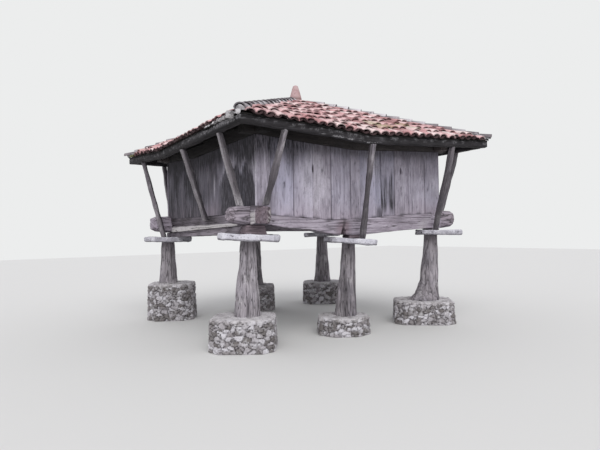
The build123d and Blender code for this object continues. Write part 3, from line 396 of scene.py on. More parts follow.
def frontBeamShade(p, n):
    cleft = ease(cleftAt["reach"], 0.02, math.hypot(p.x - cleftAt["x"], (p.z - cleftAt["z"]) * 0.8))
    gap = abs(p.x + 0.43 - (p.z - 2.15) * cleftAt["lean"])
    log = ease(2.42, 2.5, abs(p.x))
    # under: painted shade on faces turned down
    under = ease(-0.3, -0.9, n.z) * 0.62
    rim = ease(0.3, 0.7, noiseAt(p.x * 1.3, 0, p.z * 3))
    checks = log * max(checksAt(p, 0.11), checksAt(p, 0.055)) * 0.95
    return max(0.12, cleft * 1.4, log * 0.5), log * 0.1 + rim * 0.5, max(
        under, checks, cleft * ease(0.05, 0.015, gap) * 0.9)


def leftBeamShade(p, n):
    ledge = ease(-2.445, -2.46, p.x) * ease(-1.9, -1.7, p.y)
    atHead = ease(-2.33, -2.35, p.y)
    beside, above = p.x - head["middle"].x, p.z - head["middle"].z
    endGrain = atHead * ease(0.5, 0.9, -n.y)
    shaded = ease(-0.4, -0.8, n.x) * (1 - atHead) * (1 - ledge) * (0.95 + 0.6 * noise.noise(p * 2.3))
    hatch = noiseAt((p.x + 0.6 * p.z) * 36, 0, (p.z - p.x) * 10)
    torn = endGrain * ease(0.05, 0.12, beside)
    checks = endGrain * (0.35 + 0.6 * checksAt(Vector((p.z, p.x, p.z)), 0.09))
    notch = atHead * ease(0.05, 0.14, above) * ease(0.02, -0.05, beside) * 0.9
    weathered = atHead * ease(-0.6, -0.9, n.x) * ease(0.1, 0.0, above) * 0.9
    # faces turned down, and through shaded the faces turned to -x, get painted shade
    return (0.12 + endGrain * 0.8, max(ledge * 0.95, weathered, torn * ease(-0.05, -0.25, hatch)),
            max(ease(-0.3, -0.9, n.z) * 0.8 * (1 - ledge), shaded, checks, torn * ease(0.0, 0.25, hatch), notch))


def plainBeamShade(p, n):
    # paler on faces turned up; painted shade on faces turned down
    return 0.15, ease(0.6, 0.9, n.z) * 0.3, ease(-0.3, -0.9, n.z) * 0.7


def sillShade(p, n):
    # painted shade all over in mottles, strongest on faces turned down
    return 0.2, 0.1, max(0.62 + 0.4 * noise.noise(p * 3), ease(-0.2, -0.9, n.z))


timberFrom("front_ground_beam", groundBeam, frontBeamShade, beamWood, "ground_timber")
# the left beam's lower tone is painted shade of the left side
leftBeam = timberFrom("left_ground_beam", dict(groundBeam, tone=-0.4), leftBeamShade, beamWood, "ground_timber")
headPoints = [v for v in leftBeam.data.vertices if v.co.y < head["start"]]
headLow = Vector([min(v.co[i] for v in headPoints) for i in range(3)])
headHigh = Vector([max(v.co[i] for v in headPoints) for i in range(3)])
for vertex in headPoints:  # the head is broken at its corners and splintered across its end
    p = vertex.co
    offset = Vector((2 * (p.x - headLow.x) / (headHigh.x - headLow.x) - 1, 0,
                     2 * (p.z - headLow.z) / (headHigh.z - headLow.z) - 1))
    torn = ease(head["start"], head["end"], p.y)
    corner = ease(1.0, 1.35, offset.length) * (head["chip"] + 0.03 * noiseAt(offset.x * 2, 1, offset.z * 2))
    rough = 0.022 * noiseAt(p.x * 9, p.y * 4, p.z * 9) + 0.010 * noiseAt(p.x * 30, p.y * 9, p.z * 22)
    vertex.co = p - offset.normalized() * corner * torn - vertex.normal * abs(rough) * torn
for side in ("back", "right"):
    timberFrom(side + "_ground_beam", dict(groundBeam, voxel=0.021), plainBeamShade, beamWood, "ground_timber")
timberFrom("left_sill_log", dict(groundBeam, voxel=0.022, seed=31), sillShade, beamWood, "ground_timber")
block = {"voxel": 0.018, "ripple": 0.005, "split": 0.012, "lump": 0.008, "seed": 35, "along": Vector((1, 0, 0))}
timberFrom("bearing_blocks", block, lambda p, n: (1.1, 0.1, 0.4), beamWood, "ground_timber")
print("granary: ground beams")

# Trunk posts: hewn oak, upright checks, with painted shade under the stones
trunkPost = {"voxel": 0.016, "ripple": 0.014, "split": 0.016, "lump": 0.016, "crackCell": 0.075, "crackRun": 1.5,
             "crackWidth": 0.09, "seed": 51, "along": Vector((0, 0, 1))}
# tones of each post and capping stone: the darker ones are painted shade of the pillars that stand in shade
pillars = {"front_left": {"post": 0.0, "slab": 0.05}, "front_middle": {"post": -0.75, "slab": 0.0},
           "front_right": {"post": -0.5, "slab": -0.2}, "back_left": {"post": -0.45, "slab": -0.32},
           "back_middle": {"post": -0.6, "slab": -0.2}, "back_right": {"post": -0.6, "slab": -0.2}}


def postShade(p, n):
    hollow = ease(0.15, 0.5, noiseAt(p.x * 4, p.y * 4, p.z * 0.7)) * 0.6
    crack = ease(0.05, 0.02, abs(p.x + 2.2 + 0.05 * noiseAt(0, 0, p.z * 6)))  # the long one in the near post
    crack *= ease(0.78, 0.9, p.z) * ease(1.4, 1.2, p.z) * ease(-2.2, -2.3, p.y)
    # darker near the top: painted shade under the capping stone
    return 0.25, ease(0.2, 0.8, noise.noise(p * 4)) * 0.6, max(ease(1.75, 1.95, p.z) * 0.4, hollow, crack)


for number, (place, tones) in enumerate(pillars.items()):
    post = dict(trunkPost, seed=trunkPost["seed"] + number, tone=tones["post"])
    timberFrom(place + "_post", post, postShade, postWood, "post_timber")
print("granary: posts")

# Struts: split poles, paler on their edges; the left struts get painted light on one side and painted shade on the
# other
poleStrut = {"voxel": 0.018, "ripple": 0.006, "split": 0.012, "lump": 0.017, "seed": 71, "along": None}
facing = {"front": Vector((0, -1, 0)), "left": Vector((-1, 0, 0)), "back": Vector((0, 1, 0)),
          "right": Vector((1, 0, 0))}


def strutShade(p, n):
    front = ease(-2.42, -2.5, p.y)
    fleck = ease(0.1, 0.45, noiseAt(p.x * 11, p.y * 11, p.z * 4))
    worn = ease(0.0, 0.7, n.x + 0.4 * n.z) * ease(3.0, 3.5, p.z)
    # shadedSide: the left struts get painted light on the side turned one way and painted shade on the side turned the
    # other
    shadedSide = 0.83 * n.x - 0.55 * n.y
    foot = ease(2.95, 2.6, p.z) * ease(-2.45, -2.6, p.x) * ease(-1.5, -1.9, p.y)
    pale = max(worn * (0.4 + 0.5 * fleck), 0.45 * fleck, foot * 0.9, (1 - front) * ease(-0.4, -0.85, shadedSide) * 0.8)
    dark = max(front * ease(3.75, 3.1, p.z + 0.3 * noise.noise(p * 4)) * 0.85, front * ease(0.1, -0.7, n.x) * 0.6,
               (1 - front) * (0.45 + 0.5 * ease(0.1, 0.8, shadedSide)), 0.3 * ease(0.0, 0.5, noise.noise(p * 2.5)))
    return 0.3, pale, max(dark, ease(3.6, 4.0, p.z) * 0.4) * (1 - 0.7 * foot)


for side in facing:
    pole = dict(poleStrut, seed=poleStrut["seed"] + len(side))
    timberFrom(side + "_struts", pole, strutShade, strutWood, "strut_timber")

# Eave beams and wall plates: almost black, partly stain and partly painted shade of the eaves; lichen in pale dashes
# along the lower edge
eaveBeam = {"voxel": 0.028, "ripple": 0.005, "split": 0.010, "lump": 0.008, "seed": 81, "faceX": 3.15, "faceY": 3.12}
eaveTree = castTree("eave_beams")


def eaveShade(p, n):  # grey blotches on the outer face, a pale dashed line along its lower edge
    outward = max(abs(p.x) - eaveBeam["faceX"], abs(p.y) - eaveBeam["faceY"])
    insideX, insideY = eaveBeam["faceX"] + 0.015, eaveBeam["faceY"] + 0.015
    below = plumb(eaveTree, min(insideX, max(-insideX, p.x)), min(insideY, max(-insideY, p.y)), above=False)[0]
    rise = p.z - (below.z if below else p.z - 1)
    left = ease(-3.14, -3.16, p.x) * ease(0.6, -2.4, p.y)
    if p.y < -3.1:
        dashes = ease(-1.75, -1.4, p.x) * ease(0.1, -0.35, p.x)
    else:
        dashes = ease(0.1, 0.4, noiseAt(p.x, p.y, 2))
    edge = ease(0.045, 0.015, rise) * dashes * ease(-0.3, 0.1, noiseAt(p.x * 5, p.y * 5, 2)) * (1 - left)
    near = left * ease(-1.6, -2.9, p.y)
    blotch = ease(0.05, 0.35, noiseAt(p.x * 11, p.y * 11, p.z * 17)) * (0.35 + 0.65 * left) * ease(0.03, 0.09, rise)
    pale = max(edge * 0.7, blotch, (0.4 * left + 1.6 * near) * ease(0.05, 0.1, rise))
    return 0.2, ease(0.0, 0.012, outward) * pale, max(0.3, left * ease(0.07, 0.03, rise)) * (1 - edge)


def hiddenPlateShade(p, n):
    return 0.4, 0.1, 0.3


# the plates' stain masks and tones below 0 paint the deep shade under the eaves, darkest on the left
plateShade = {
    "front": lambda p, n: (0.3, 0.25 * ease(-1.6, 0.0, p.x), 0.7 + 0.25 * ease(-1.0, -2.0, p.x)),
    "left": lambda p, n: (0.2, 0.0, 0.95)}
plateTones = {"front": -1.3, "left": -2.1}
timberFrom("eave_beams", eaveBeam, eaveShade, eaveWood, "roof_timber")
for side in facing:
    plate = dict(eaveBeam, voxel=0.034, seed=85 + len(side), tone=plateTones.get(side, 0))
    timberFrom(side + "_wall_plate", plate, plateShade.get(side, hiddenPlateShade), plateWood, "roof_timber")
print("granary: struts, eave beams, plates")

# Wall planks: wide sawn boards set upright in the beams, one row to each wall. Seams are places along the wall,
# knots are a place and a height above the beam, slots a place, height, width and length
walls = {
    "front": {"seams": [-2.44, -2.12, -1.61, -1.15, -0.71, -0.21, 0.05, 0.48, 0.63, 1.02, 1.45, 1.96, 2.44],
              "tones": [1.25, 0.95, 0.75, 0.5, 0.3, 0.5, 0.2, -0.55, 0.0, 0.15, 0.1, -0.1],
              "cools": [0.1, 0.85, 0.4, 0.0, 0.35, 0.2, 0.8, 1.0, 0.8, 0.1, 0.2, 0.3],
              "knots": [(-1.82, 0.60), (-0.93, 0.96), (1.22, 0.58), (-0.09, 1.15), (2.05, 0.55), (-2.11, 0.6)],
              "slots": [(-1.149, 3.363, 0.046, 0.19), (1.22, 3.434, 0.05, 0.16)]},
    # the left wall's tones lie below 0: painted shade of the side that stands in shade
    "left": {"seams": [-2.279, -2.01, -1.62, -1.2, -0.55, -0.1, 0.32, 0.70, 1.15, 1.69, 1.81, 2.279],
             "tones": [-0.2, -0.8, -0.6, -0.8, -0.7, -1.1, -1.3, -0.9, -1.4, -0.8, -1.5],
             "cools": [0.2, 0.5, 0.2, 0.3, 0.2, 0.3, 0.2, 0.3, 0.2, 0.3, 0.2]},
    "back": {"seams": [-2.44, -2.0, -1.62, -1.1, -0.66, -0.2, 0.3, 0.72, 1.2, 1.55, 2.05, 2.44],
             "tones": [0.1, -0.2, 0.05, 0.1, -0.1, 0.15, 0.0, -0.2, 0.1, -0.1, 0.05]},
    "right": {"seams": [-2.279, -1.85, -1.4, -0.98, -0.5, -0.02, 0.44, 0.9, 1.33, 1.8, 2.279],
              "tones": [0.05, -0.15, 0.1, 0.0, -0.2, 0.1, -0.05, 0.15, -0.1, 0.0]}}
plank = {"gap": 0.009, "thick": 0.036, "cell": 0.028, "rows": 26, "proud": 0.010, "cup": 0.004, "worn": 0.006,
         "ripple": 0.0025, "inside": 0.03, "bedded": 0.006, "play": 0.001}
openSeams = {-1.61, -0.71, -0.21, 0.63, 1.02, 1.96, -1.2, 0.32, 1.15}  # the joints that have opened
flames = [(-0.4, 0.36), (-0.73, 0.58), (-0.9, 0.74), (-1.06, 0.92), (-1.25, 0.62), (-1.40, 0.88), (-1.56, 1.0),
          (-1.70, 0.78), (-1.77, 0.76), (-1.86, 0.95), (-1.98, 0.99), (-2.05, 0.80), (-2.16, 0.82), (-2.24, 0.66),
          (-2.30, 0.45)]  # black stain of the left wall: place, height
blackPlank = {"start": 0.60, "end": 1.06, "high": 0.74, "streaks": (0.69, 0.97), "crack": 0.57,
              "narrow": (0.475, 0.635)}


def frontMarks(s, z, low, comb):  # black stain, and what is pale, of the planks of the front wall, with painted shadow and shade
    crest = low + blackPlank["high"] + 0.25 * noiseAt(s * 9, 1, 1) + 0.25 * comb
    first, second = blackPlank["streaks"]
    start, end = blackPlank["narrow"]
    left, right = blackPlank["start"], blackPlank["end"]
    blot = ease(left, left + 0.06, s) * ease(right, right - 0.05, s)
    blot *= ease(crest + 0.3, crest - 0.12, z) * ease(low - 0.1, low + 0.3, z) * (0.5 + 0.7 * ease(-0.35, 0.1, comb))
    blot *= 0.5 + 0.65 * max(ease(0.11, 0.04, abs(s - first)), ease(0.14, 0.05, abs(s - second)))
    blot = max(blot, (0.4 + 0.4 * comb) * ease(start, start + 0.025, s) * ease(end, end - 0.025, s),
               0.9 * ease(0.13, 0.03, abs(s - blackPlank["crack"])) * ease(low + 0.34, low + 0.1, z))
    for knot in walls["front"]["knots"]:
        blot = max(blot, 0.9 * ease(1.0, 0.4, math.hypot((s - knot[0]) / 0.035, (z - low - knot[1]) / 0.07)))
    pale = ease(-2.405, -2.43, s) * 0.9 + 0.8 * ease(0.02, 0.0, abs(s + 2.13)) * ease(low + 0.5, low + 0.8, z)
    pale += (0.9 * ease(0.1, 0.3, comb) * ease(0.14, 0.03, abs(s - blackPlank["crack"]))
             * ease(low + 0.5, low + 0.2, z))
    # painted shadow beside the corner plank
    shadow = 0.6 * ease(-2.1, -2.08, s) * ease(-1.9, -2.05, s) * ease(low + 0.5, low + 0.9, z)
    # the dark broken line along the foot, where the planks meet the beam, is painted shade
    return pale, max(blot, shadow, ease(0.035, 0.0, z - low) * ease(-0.2, 0.2, noiseAt(s * 6, 8, 8)) * 0.8)


def leftMarks(s, z, low, high, comb):  # pale rim over the flames, a pale streak, and the black stain of the left wall with painted shade over it
    crest = 0
    for (s0, z0), (s1, z1) in zip(flames, flames[1:]):
        if s1 <= s <= s0:
            crest = z0 + (z1 - z0) * (s - s0) / (s1 - s0)
    near = ease(crest + 0.06, crest - 0.03, z - low - 0.12 * comb) * ease(-0.4, -1.0, s)
    rim = ease(crest - 0.02, crest + 0.1, z - low) * ease(crest + 0.55, crest + 0.15, z - low) * ease(-0.9, -1.3, s)
    # shaded: painted shade of the left wall, which stands in shade, stronger towards its back end
    shaded = 0.32 + 0.62 * ease(-0.5, 0.5, s) + 0.8 * noiseAt(s * 2.6, 7, z * 1.1) + 0.6 * comb
    streak = ease(0.05, 0.01, abs(s + 0.52)) * ease(low + 0.2, low + 0.6, z) * ease(high - 0.4, high - 0.7, z)
    return rim * 0.9, streak, max(1.1 * near, shaded * ease(-2.25, -1.9, s))


def wallShade(side, s, z, low, high):
    shadeAndStainDepth, corner, strength = 0.4, 0, 0.8 + 0.2 * ease(-1.0, -1.7, s)  # how far the painted shade and the stain under the roof reach down
    if side == "front":
        shadeAndStainDepth = 0.34 + 0.42 * ease(-1.0, -1.7, s)
    if side == "left":
        corner, strength = ease(-1.3, -1.9, s), 1.1
        shadeAndStainDepth = 0.62 + 0.3 * ease(-1.2, -0.4, s) + 0.2 * corner
    fringe = noiseAt(s * 4, 0, 5) + 0.8 * noiseAt(s * 19, 0, 1) + 0.5 * noiseAt(s * 45, 0, z)
    # top: dark band under the roof, partly stain and partly painted shade, deeper towards the near corner
    top = ease(high - shadeAndStainDepth * (1 - 0.5 * fringe), high - (0.12 + 0.3 * corner) * shadeAndStainDepth, z) * strength
    foot = ease(low + 0.42 + 0.12 * noiseAt(s * 2.5, 3, 0), low, z)
    comb = noiseAt(s * 24, 2, z * 1.5)
    mottle = noiseAt(s * 5, 4, z * 2.2)
    stain = max(top * 1.1, 0.35 * ease(0.1, 0.6, mottle), 0.4 * ease(0.25, 0.5, noiseAt(s * 38, z * 2.4, 6)))
    pale = ease(0.3, 0.7, noiseAt(s * 1.3, z * 0.8, 9)) * 0.5 + ease(0.25, 0.6, noiseAt(s * 16, z * 2.5, 3)) * 0.35
    # open seams darkened: painted shade in the gaps between planks
    for seam in openSeams.intersection(walls[side]["seams"]):
        stain = max(stain, 0.6 * ease(0.02, 0.006, abs(s - seam)) * (0.7 + 0.6 * noiseAt(seam, 1, z * 2)))
    if side == "front":
        marks, black = frontMarks(s, z, low, comb)
        pale, stain = pale + marks, max(stain, black)
    if side == "left":
        rim, streak, black = leftMarks(s, z, low, high, comb)
        pale = (pale + rim) * 0.6 + streak
        stain = max(stain, black) * (1 - 0.7 * streak)
    return foot * 0.45, pale, stain


def cutSlot(board, middle, axis, slot):
    place, height, width, length = slot
    bpy.ops.mesh.primitive_cylinder_add(vertices=12, radius=0.5, depth=0.3, rotation=(math.pi / 2, 0, 0))
    cutter = bpy.context.active_object
    bpy.ops.object.transform_apply(rotation=True)
    cutter.scale = (width, 1, length)
    cutter.location = middle + axis * place + Vector((0, 0, height))
    pick(cutter)
    bpy.ops.object.transform_apply(location=True, scale=True)
    applyModifier(board, "BOOLEAN", {"operation": "DIFFERENCE", "object": cutter, "solver": "EXACT"})
    bpy.data.objects.remove(cutter)


def buildWall(side):
    tree, out = castTree(side + "_wall"), facing[side]
    axis = Vector((abs(out.y), abs(out.x), 0))
    low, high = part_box(side + "_wall")
    face = abs(out.dot(high if out.x + out.y > 0 else low))
    middle = out * (face - plank["inside"])
    seams, tones = walls[side]["seams"], walls[side]["tones"]
    draw = random.Random(len(side) * 7)
    cools = walls[side].get("cools") or [draw.uniform(0, 0.7) for tone in tones]
    parts = []
    for number, (start, end) in enumerate(zip(seams, seams[1:])):
        across = max(3, round((end - start) / plank["cell"]))
        bpy.ops.mesh.primitive_grid_add(x_subdivisions=across, y_subdivisions=plank["rows"], size=1)
        board = bpy.context.active_object
        proud = draw.uniform(0.001, plank["proud"])
        left = start + plank["gap"] * draw.uniform(0.3, 0.7) * (1 if start in openSeams else 0.3)
        right = end - plank["gap"] * draw.uniform(0.3, 0.7) * (1 if end in openSeams else 0.3)
        shift = Vector([draw.uniform(0, 40) for step in range(3)])
        ends = {}
        for vertex in board.data.vertices:
            s = left + (right - left) * (vertex.co.x + 0.5)
            key = round(s, 4)
            if key not in ends:
                probe = middle + axis * min(max(s, seams[0] + 0.004), seams[-1] - 0.004)
                foot, top = [plumb(tree, probe.x, probe.y, above)[0].z for above in (False, True)]
                ends[key] = (foot + plank["play"], top - plank["play"])
            foot, top = ends[key]
            z = foot + (top - foot) * (vertex.co.y + 0.5)
            bow = plank["cup"] * (1 - (2 * vertex.co.x) ** 2)
            ripple = plank["ripple"] * noise.noise(Vector((s / 0.03, 0, z / 0.7)) + shift)
            vertex.co = axis * s + Vector((0, 0, z)) + out * (face - proud - plank["bedded"] + bow + ripple)
        openMesh(board)
        bpy.ops.mesh.normals_make_consistent(inside=False)
        closeMesh()
        if board.data.polygons[0].normal.dot(out) < 0:
            board.data.flip_normals()
        applyModifier(board, "SOLIDIFY", {"thickness": plank["thick"], "offset": -1})
        applyModifier(board, "BEVEL", {"width": plank["worn"], "segments": 1, "limit_method": "ANGLE",
                                       "angle_limit": math.radians(60)})
        for slot in walls[side].get("slots", ()):
            if start - 0.03 < slot[0] < end + 0.03:
                cutSlot(board, middle, axis, slot)
        grain, masks = [], {"tone": [], "cool": [], "warm": [], "pale": [], "stain": []}
        for vertex in board.data.vertices:
            s, z = vertex.co.dot(axis), vertex.co.z
            foot, top = ends[min(ends, key=lambda k: abs(k - s))]
            grain.extend((s + shift.x, vertex.co.dot(out) + shift.y, z + shift.z))
            for layer, value in zip(masks, (tones[number], cools[number], *wallShade(side, s, z, foot, top))):
                masks[layer].append(value)
        store(board, masks, grain)
        parts.append(board)
    hand(joinParts(parts, side + "Wall"), plankWood, "wall_planks", side + "_wall")


for side in walls:
    buildWall(side)
print("granary: wall planks")


# Stone, mortar and clay: a ground colour from each stone's or tile's own tone and its grit, with other colours
# laid over it: lichen in patches, dark joints or grime, both with painted shade under slabs and tiles,
# crumbs of mortar or a green tinge, pits
stoneGround = {
    "grit": (38.0, 6.0, 0.7), "patch": (7.0, 5.0, 0.65), "gritShare": 0.5,  # grit of 26 mm, patches of 143 mm
    "stops": ((0.2, "dark"), (0.5, "mid"), (0.8, "light")), "lichen": (0.52, 0.66),
    "layers": (("joint", "grit", 0, 1, 1, 1, "joint", "MULTIPLY"),
               ("mortar", "patch", 0.35, 0.55, 0, 1, "cap", "MULTIPLY"),
               ("deep", "grit", 0.33, 0.42, 1, 0, None, None)),
    "bump": 0.9, "relief": 0.014, "roughness": 0.95, "gloss": 0.25}
clayGround = {
    "grit": (45.0, 5.0, 0.65), "patch": (8.0, 6.0, 0.7), "gritShare": 0.35,  # grit of 22 mm, patches of 125 mm
    "stops": ((0.12, "dark"), (0.36, "brick"), (0.6, "rose"), (0.92, "light")), "lichen": (0.53, 0.64),
    "layers": (("grime", "patch", 0.48, 0.34, 0, 0.7, "tail", "MAXIMUM"),
               ("moss", "grit", 0.4, 0.55, 0, 1, "moss", "MULTIPLY")),
    "bump": 0.6, "relief": 0.006, "roughness": 0.9, "gloss": 0.3}


def grittySurface(name, ground, look, lichenShare=0.7):
    material, tree = newMaterial(name)
    place = addNode(tree, "TexCoord", {}).outputs["Object"]
    tone = addNode(tree, "Attribute", {"attribute_name": "tone"}).outputs["Fac"]
    fields = {}
    for field in ("grit", "patch"):
        scale, detail, roughness = ground[field]
        fields[field] = addNode(tree, "TexNoise", {
            "Scale": scale, "Detail": detail, "Roughness": roughness, "Vector": place})
    mixed = addNode(tree, "Math", {"operation": "MULTIPLY_ADD", 0: fields["grit"], 1: ground["gritShare"], 2: tone})
    stops = [(share, look[shade]) for share, shade in ground["stops"]]
    colour = addNode(tree, "ValToRGB", {"stops": stops, "Fac": mixed}).outputs[0]
    lichen = ("lichen", "patch", *ground["lichen"], 0, lichenShare, None, None)
    colour = paintOver(tree, colour, look, fields, (lichen, *ground["layers"]))
    bump = addNode(tree, "Bump", {"Strength": ground["bump"], "Distance": ground["relief"], "Height": fields["grit"]})
    shader = addNode(tree, "BsdfPrincipled", {
        "Base Color": colour, "Roughness": ground["roughness"], "Specular IOR Level": ground["gloss"], "Normal": bump})
    addNode(tree, "OutputMaterial", {"Surface": shader})
    return material


# Rubble: split limestone in lime mortar, grey-cream stones with dark open joints and a worn mortar cap
rubble = grittySurface("splitLimestoneInLime", stoneGround, {
    "dark": "#75706f", "mid": "#a19c9f", "light": "#cfccd1", "lichen": "#d9d7db", "joint": "#423d3f",
    "mortar": "#c3bfc1", "deep": "#363335"})
slabStone = grittySurface("splitSandstoneSlab", stoneGround, {
    "dark": "#99969f", "mid": "#c4c2cb", "light": "#e0dee5", "lichen": "#e6e5ea", "joint": "#5f5c62",
    "mortar": "#d9d7de", "deep": "#3f3d42"})

masonry = {"voxel": 0.019, "stone": (0.128, 0.128, 0.076), "jitter": 0.48, "bulge": 0.012, "recess": 0.026,
           "warp": 0.026, "rough": 0.006, "seed": 200, "tones": (-0.15, 0.0, 0.1, 0.2, 0.3, 0.42, 0.5)}


def buildPlinth(nodeName, seed):
    piece = copyOf(nodeName, camelName(nodeName))
    remesh(piece, masonry["voxel"])
    low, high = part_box(nodeName)
    draw = random.Random(seed)
    step = masonry["stone"]
    counts = [int((high[i] - low[i]) / step[i]) + 2 for i in range(3)]
    beds = kdtree.KDTree(counts[0] * counts[1] * counts[2])
    tones = []
    flat = step[0] / step[2]  # stones lie flat: wider than high
    for i, j, k in product(*map(range, counts)):
        middle = Vector((low.x + (i + 0.5 * (k % 2)) * step[0], low.y + j * step[1], low.z + (k + 0.4) * step[2]))
        middle += Vector([draw.uniform(-1, 1) * masonry["jitter"] * step[axis] for axis in range(3)])
        beds.insert(Vector((middle.x, middle.y, middle.z * flat)), len(tones))
        tones.append(draw.choice(masonry["tones"]) + draw.uniform(-0.05, 0.05))
    beds.balance()

    def laidUp(p, n):
        warp = noise.noise_vector(p * 11) * masonry["warp"]
        first, second = beds.find_n(Vector((p.x + warp.x, p.y + warp.y, (p.z + warp.z) * flat)), 2)
        stone = ease(-0.03, 0.2, (second[2] - first[2]) / step[0])
        crown = ease(0.35, 0.8, n.z) * ease(high.z - 0.12, high.z - 0.03, p.z)
        move = masonry["bulge"] * stone - masonry["recess"] * (1 - stone) * (1 - crown)
        move += masonry["rough"] * noise.noise(p * 17)
        place = p if p.z < low.z + 0.03 and n.z < -0.5 else p + n * move
        place.z = max(low.z, place.z)  # flat where it stands
        dug = ease(-0.75, 0.15, noise.noise(p * 5 + Vector((seed, 0, 0))))
        cap = max(crown, ease(high.z - 0.11, high.z - 0.02, p.z) * 0.7)
        return place, (tones[first[1]], ease(0.5, 1.0, 1 - stone) * (1 - crown) * dug, cap)

    reshape(piece, ("tone", "joint", "cap"), laidUp)
    hand(piece, rubble, "plinth_masonry", nodeName)


# Capping stones: rough split slabs, nearly white, with chipped edges and pits, and painted shade on their undersides
slab = {"voxel": 0.017, "chip": 0.034, "pit": 0.024, "rim": 0.016, "rough": 0.005}


def buildSlab(nodeName, ownTone):
    piece = copyOf(nodeName, camelName(nodeName))
    remesh(piece, slab["voxel"])
    low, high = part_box(nodeName)
    middle, half = (low + high) / 2, (high - low) / 2

    def chipped(p, n):
        flat = abs(n.z) ** 3
        rim = ease(0.55, 1.0, math.hypot((p.x - middle.x) / half.x, (p.y - middle.y) / half.y))
        worn = slab["rim"] * rim * (noiseAt(p.x * 3.5, p.y * 3.5, 7 if n.z > 0 else 2) - 0.5)
        chip = (noise.noise(p * 5) - 0.25) * slab["chip"] * (1 - 0.8 * flat) + noise.noise(p * 23) * slab["rough"]
        pit = ease(0.45, 0.75, noiseAt(p.x * 14, p.y * 14, p.z * 22)) * (1 - 0.6 * flat)
        # under: faces turned down get a lower tone and joint, painted shade; upper faces are paler
        under = ease(0.1, 0.6, -n.z)
        tone = 0.2 + ownTone + 0.25 * noise.noise(p * 3) - 0.6 * under
        return (p + n * (chip - pit * slab["pit"]) - Vector((0, 0, n.z * worn)),
                (tone, max(pit, under * 0.8), 0.3 + 0.4 * ease(0.2, 0.9, n.z)))

    reshape(piece, ("tone", "joint", "cap"), chipped)
    hand(piece, slabStone, "capping_stone", nodeName)


for number, (place, tones) in enumerate(pillars.items()):
    buildPlinth(place + "_plinth", masonry["seed"] + number)
    buildSlab(place + "_stone", tones["slab"])
print("granary: plinths and capping stones")

# Hand-made barrel tiles: fired clay, each a little different, with cream lichen, grime, and painted shade where the
# tiles lap and underneath
tileClay = grittySurface("mouldedClayTile", clayGround, {
    "dark": "#845f61", "brick": "#c89495", "rose": "#dfb7b8", "light": "#eed8d6", "lichen": "#d9cbc7",
    "grime": "#35292b", "moss": "#8f955a"}, lichenShare=0.45)
hipClay = grittySurface("lichenedClayHipTile", clayGround, {
    "dark": "#665e62", "brick": "#91888c", "rose": "#b8b0b4", "light": "#dad5d9", "lichen": "#c6c2c7",
    "grime": "#3c383b", "moss": "#80845f"}, lichenShare=0.6)
finialClay = grittySurface("mouldedClayFinial", clayGround, {
    "dark": "#8d6c70", "brick": "#b0908f", "rose": "#bea4a6", "light": "#cfbdbd", "lichen": "#b9aca4",
    "grime": "#6a524e", "moss": "#8c8f45"}, lichenShare=0.4)

tile = {"half": 0.100, "length": 0.43, "thick": 0.017, "taper": 0.8, "flat": 0.62, "column": 0.212, "course": 0.335,
        "courses": 14, "seed": 300, "lap": 0.92, "overhang": 0.078, "deep": 0.062, "coverLift": 0.026,
        "channelLift": 0.048, "tones": (0.08, 0.22, 0.3, 0.36, 0.42, 0.5, 0.62, 0.84)}


def modelTile(name, shape):  # one half-round tapered tile, its crown up and its narrow end up the slope
    bpy.ops.mesh.primitive_cylinder_add(vertices=14, radius=shape["half"], depth=shape["length"],
                                        end_fill_type="NOTHING", rotation=(math.pi / 2, 0, 0))
    piece = bpy.context.active_object
    piece.name = name
    bpy.ops.object.transform_apply(rotation=True)
    openMesh(piece)
    bpy.ops.mesh.bisect(plane_co=(0, 0, 0.0005), plane_no=(0, 0, 1), clear_inner=True)
    bpy.ops.mesh.select_all(action="SELECT")
    bpy.ops.transform.resize(value=(1, 1, shape["flat"]), center_override=(0, 0, 0))
    ring = 0.014 - shape["length"] / 2  # beside the blackened end
    bpy.ops.mesh.bisect(plane_co=(0, ring, 0), plane_no=(0, 1, 0))
    closeMesh()
    for vertex in piece.data.vertices:
        if vertex.co.y > 0:
            vertex.co = (vertex.co.x * shape["taper"], vertex.co.y, vertex.co.z * shape["taper"])
    openMesh(piece)
    bpy.ops.mesh.normals_make_consistent(inside=False)
    closeMesh()
    applyModifier(piece, "SOLIDIFY", {"thickness": shape["thick"], "offset": 0})
    return piece


cover = modelTile("coverTile", tile)
low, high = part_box("front_tiles")
edgeX, edgeY = max(abs(low.x), abs(high.x)), abs(low.y)


def laid(source, matrix, tone, moss, dirtAndShade=0.0, turned=1, gap=1.0):  # a tile in its place, with painted shade where tiles lap
    mesh = source.data.copy()
    rim = min(v.co.y for v in mesh.vertices) + 0.004
    # darker at the end rim; painted shade in the low edges, on the upper end under the next tile and on the underside
    grimeAndShadeShares = [max(dirtAndShade, 0.42 * gap * ease(rim, rim - 0.003, v.co.y), 0.4 * ease(0.02, -0.01, v.co.z),
                 0.45 * gap * ease(0.08, 0.16, v.co.y), 0.5 * ease(-0.1, -0.6, v.normal.z * turned))
             for v in mesh.vertices]
    mesh.transform(matrix)
    if matrix.to_3x3().determinant() < 0:
        mesh.flip_normals()
    piece = newPiece("laid", mesh)
    store(piece, {"tone": [tone] * len(grimeAndShadeShares), "tail": grimeAndShadeShares, "moss": [moss] * len(grimeAndShadeShares)})
    return piece


def onFrame(place, across, along, normal):  # a matrix from three directions and a place
    return Matrix.Translation(place) @ Matrix((across, along, normal)).transposed().to_4x4()


def turnedBy(degrees, axis):
    return Matrix.Rotation(math.radians(degrees), 4, axis)


def mossAt(side, place):
    if side != "front":
        return ease(0.3, 0.6, noise.noise(place * 0.9)) * 0.8
    return 0.9 * max(ease(0.42, 0.1, math.hypot(place.x - 0.35, place.y + 2.55)),
                     ease(0.35, 0.1, math.hypot(place.x - 1.15, place.y + 2.45)) * 0.8)


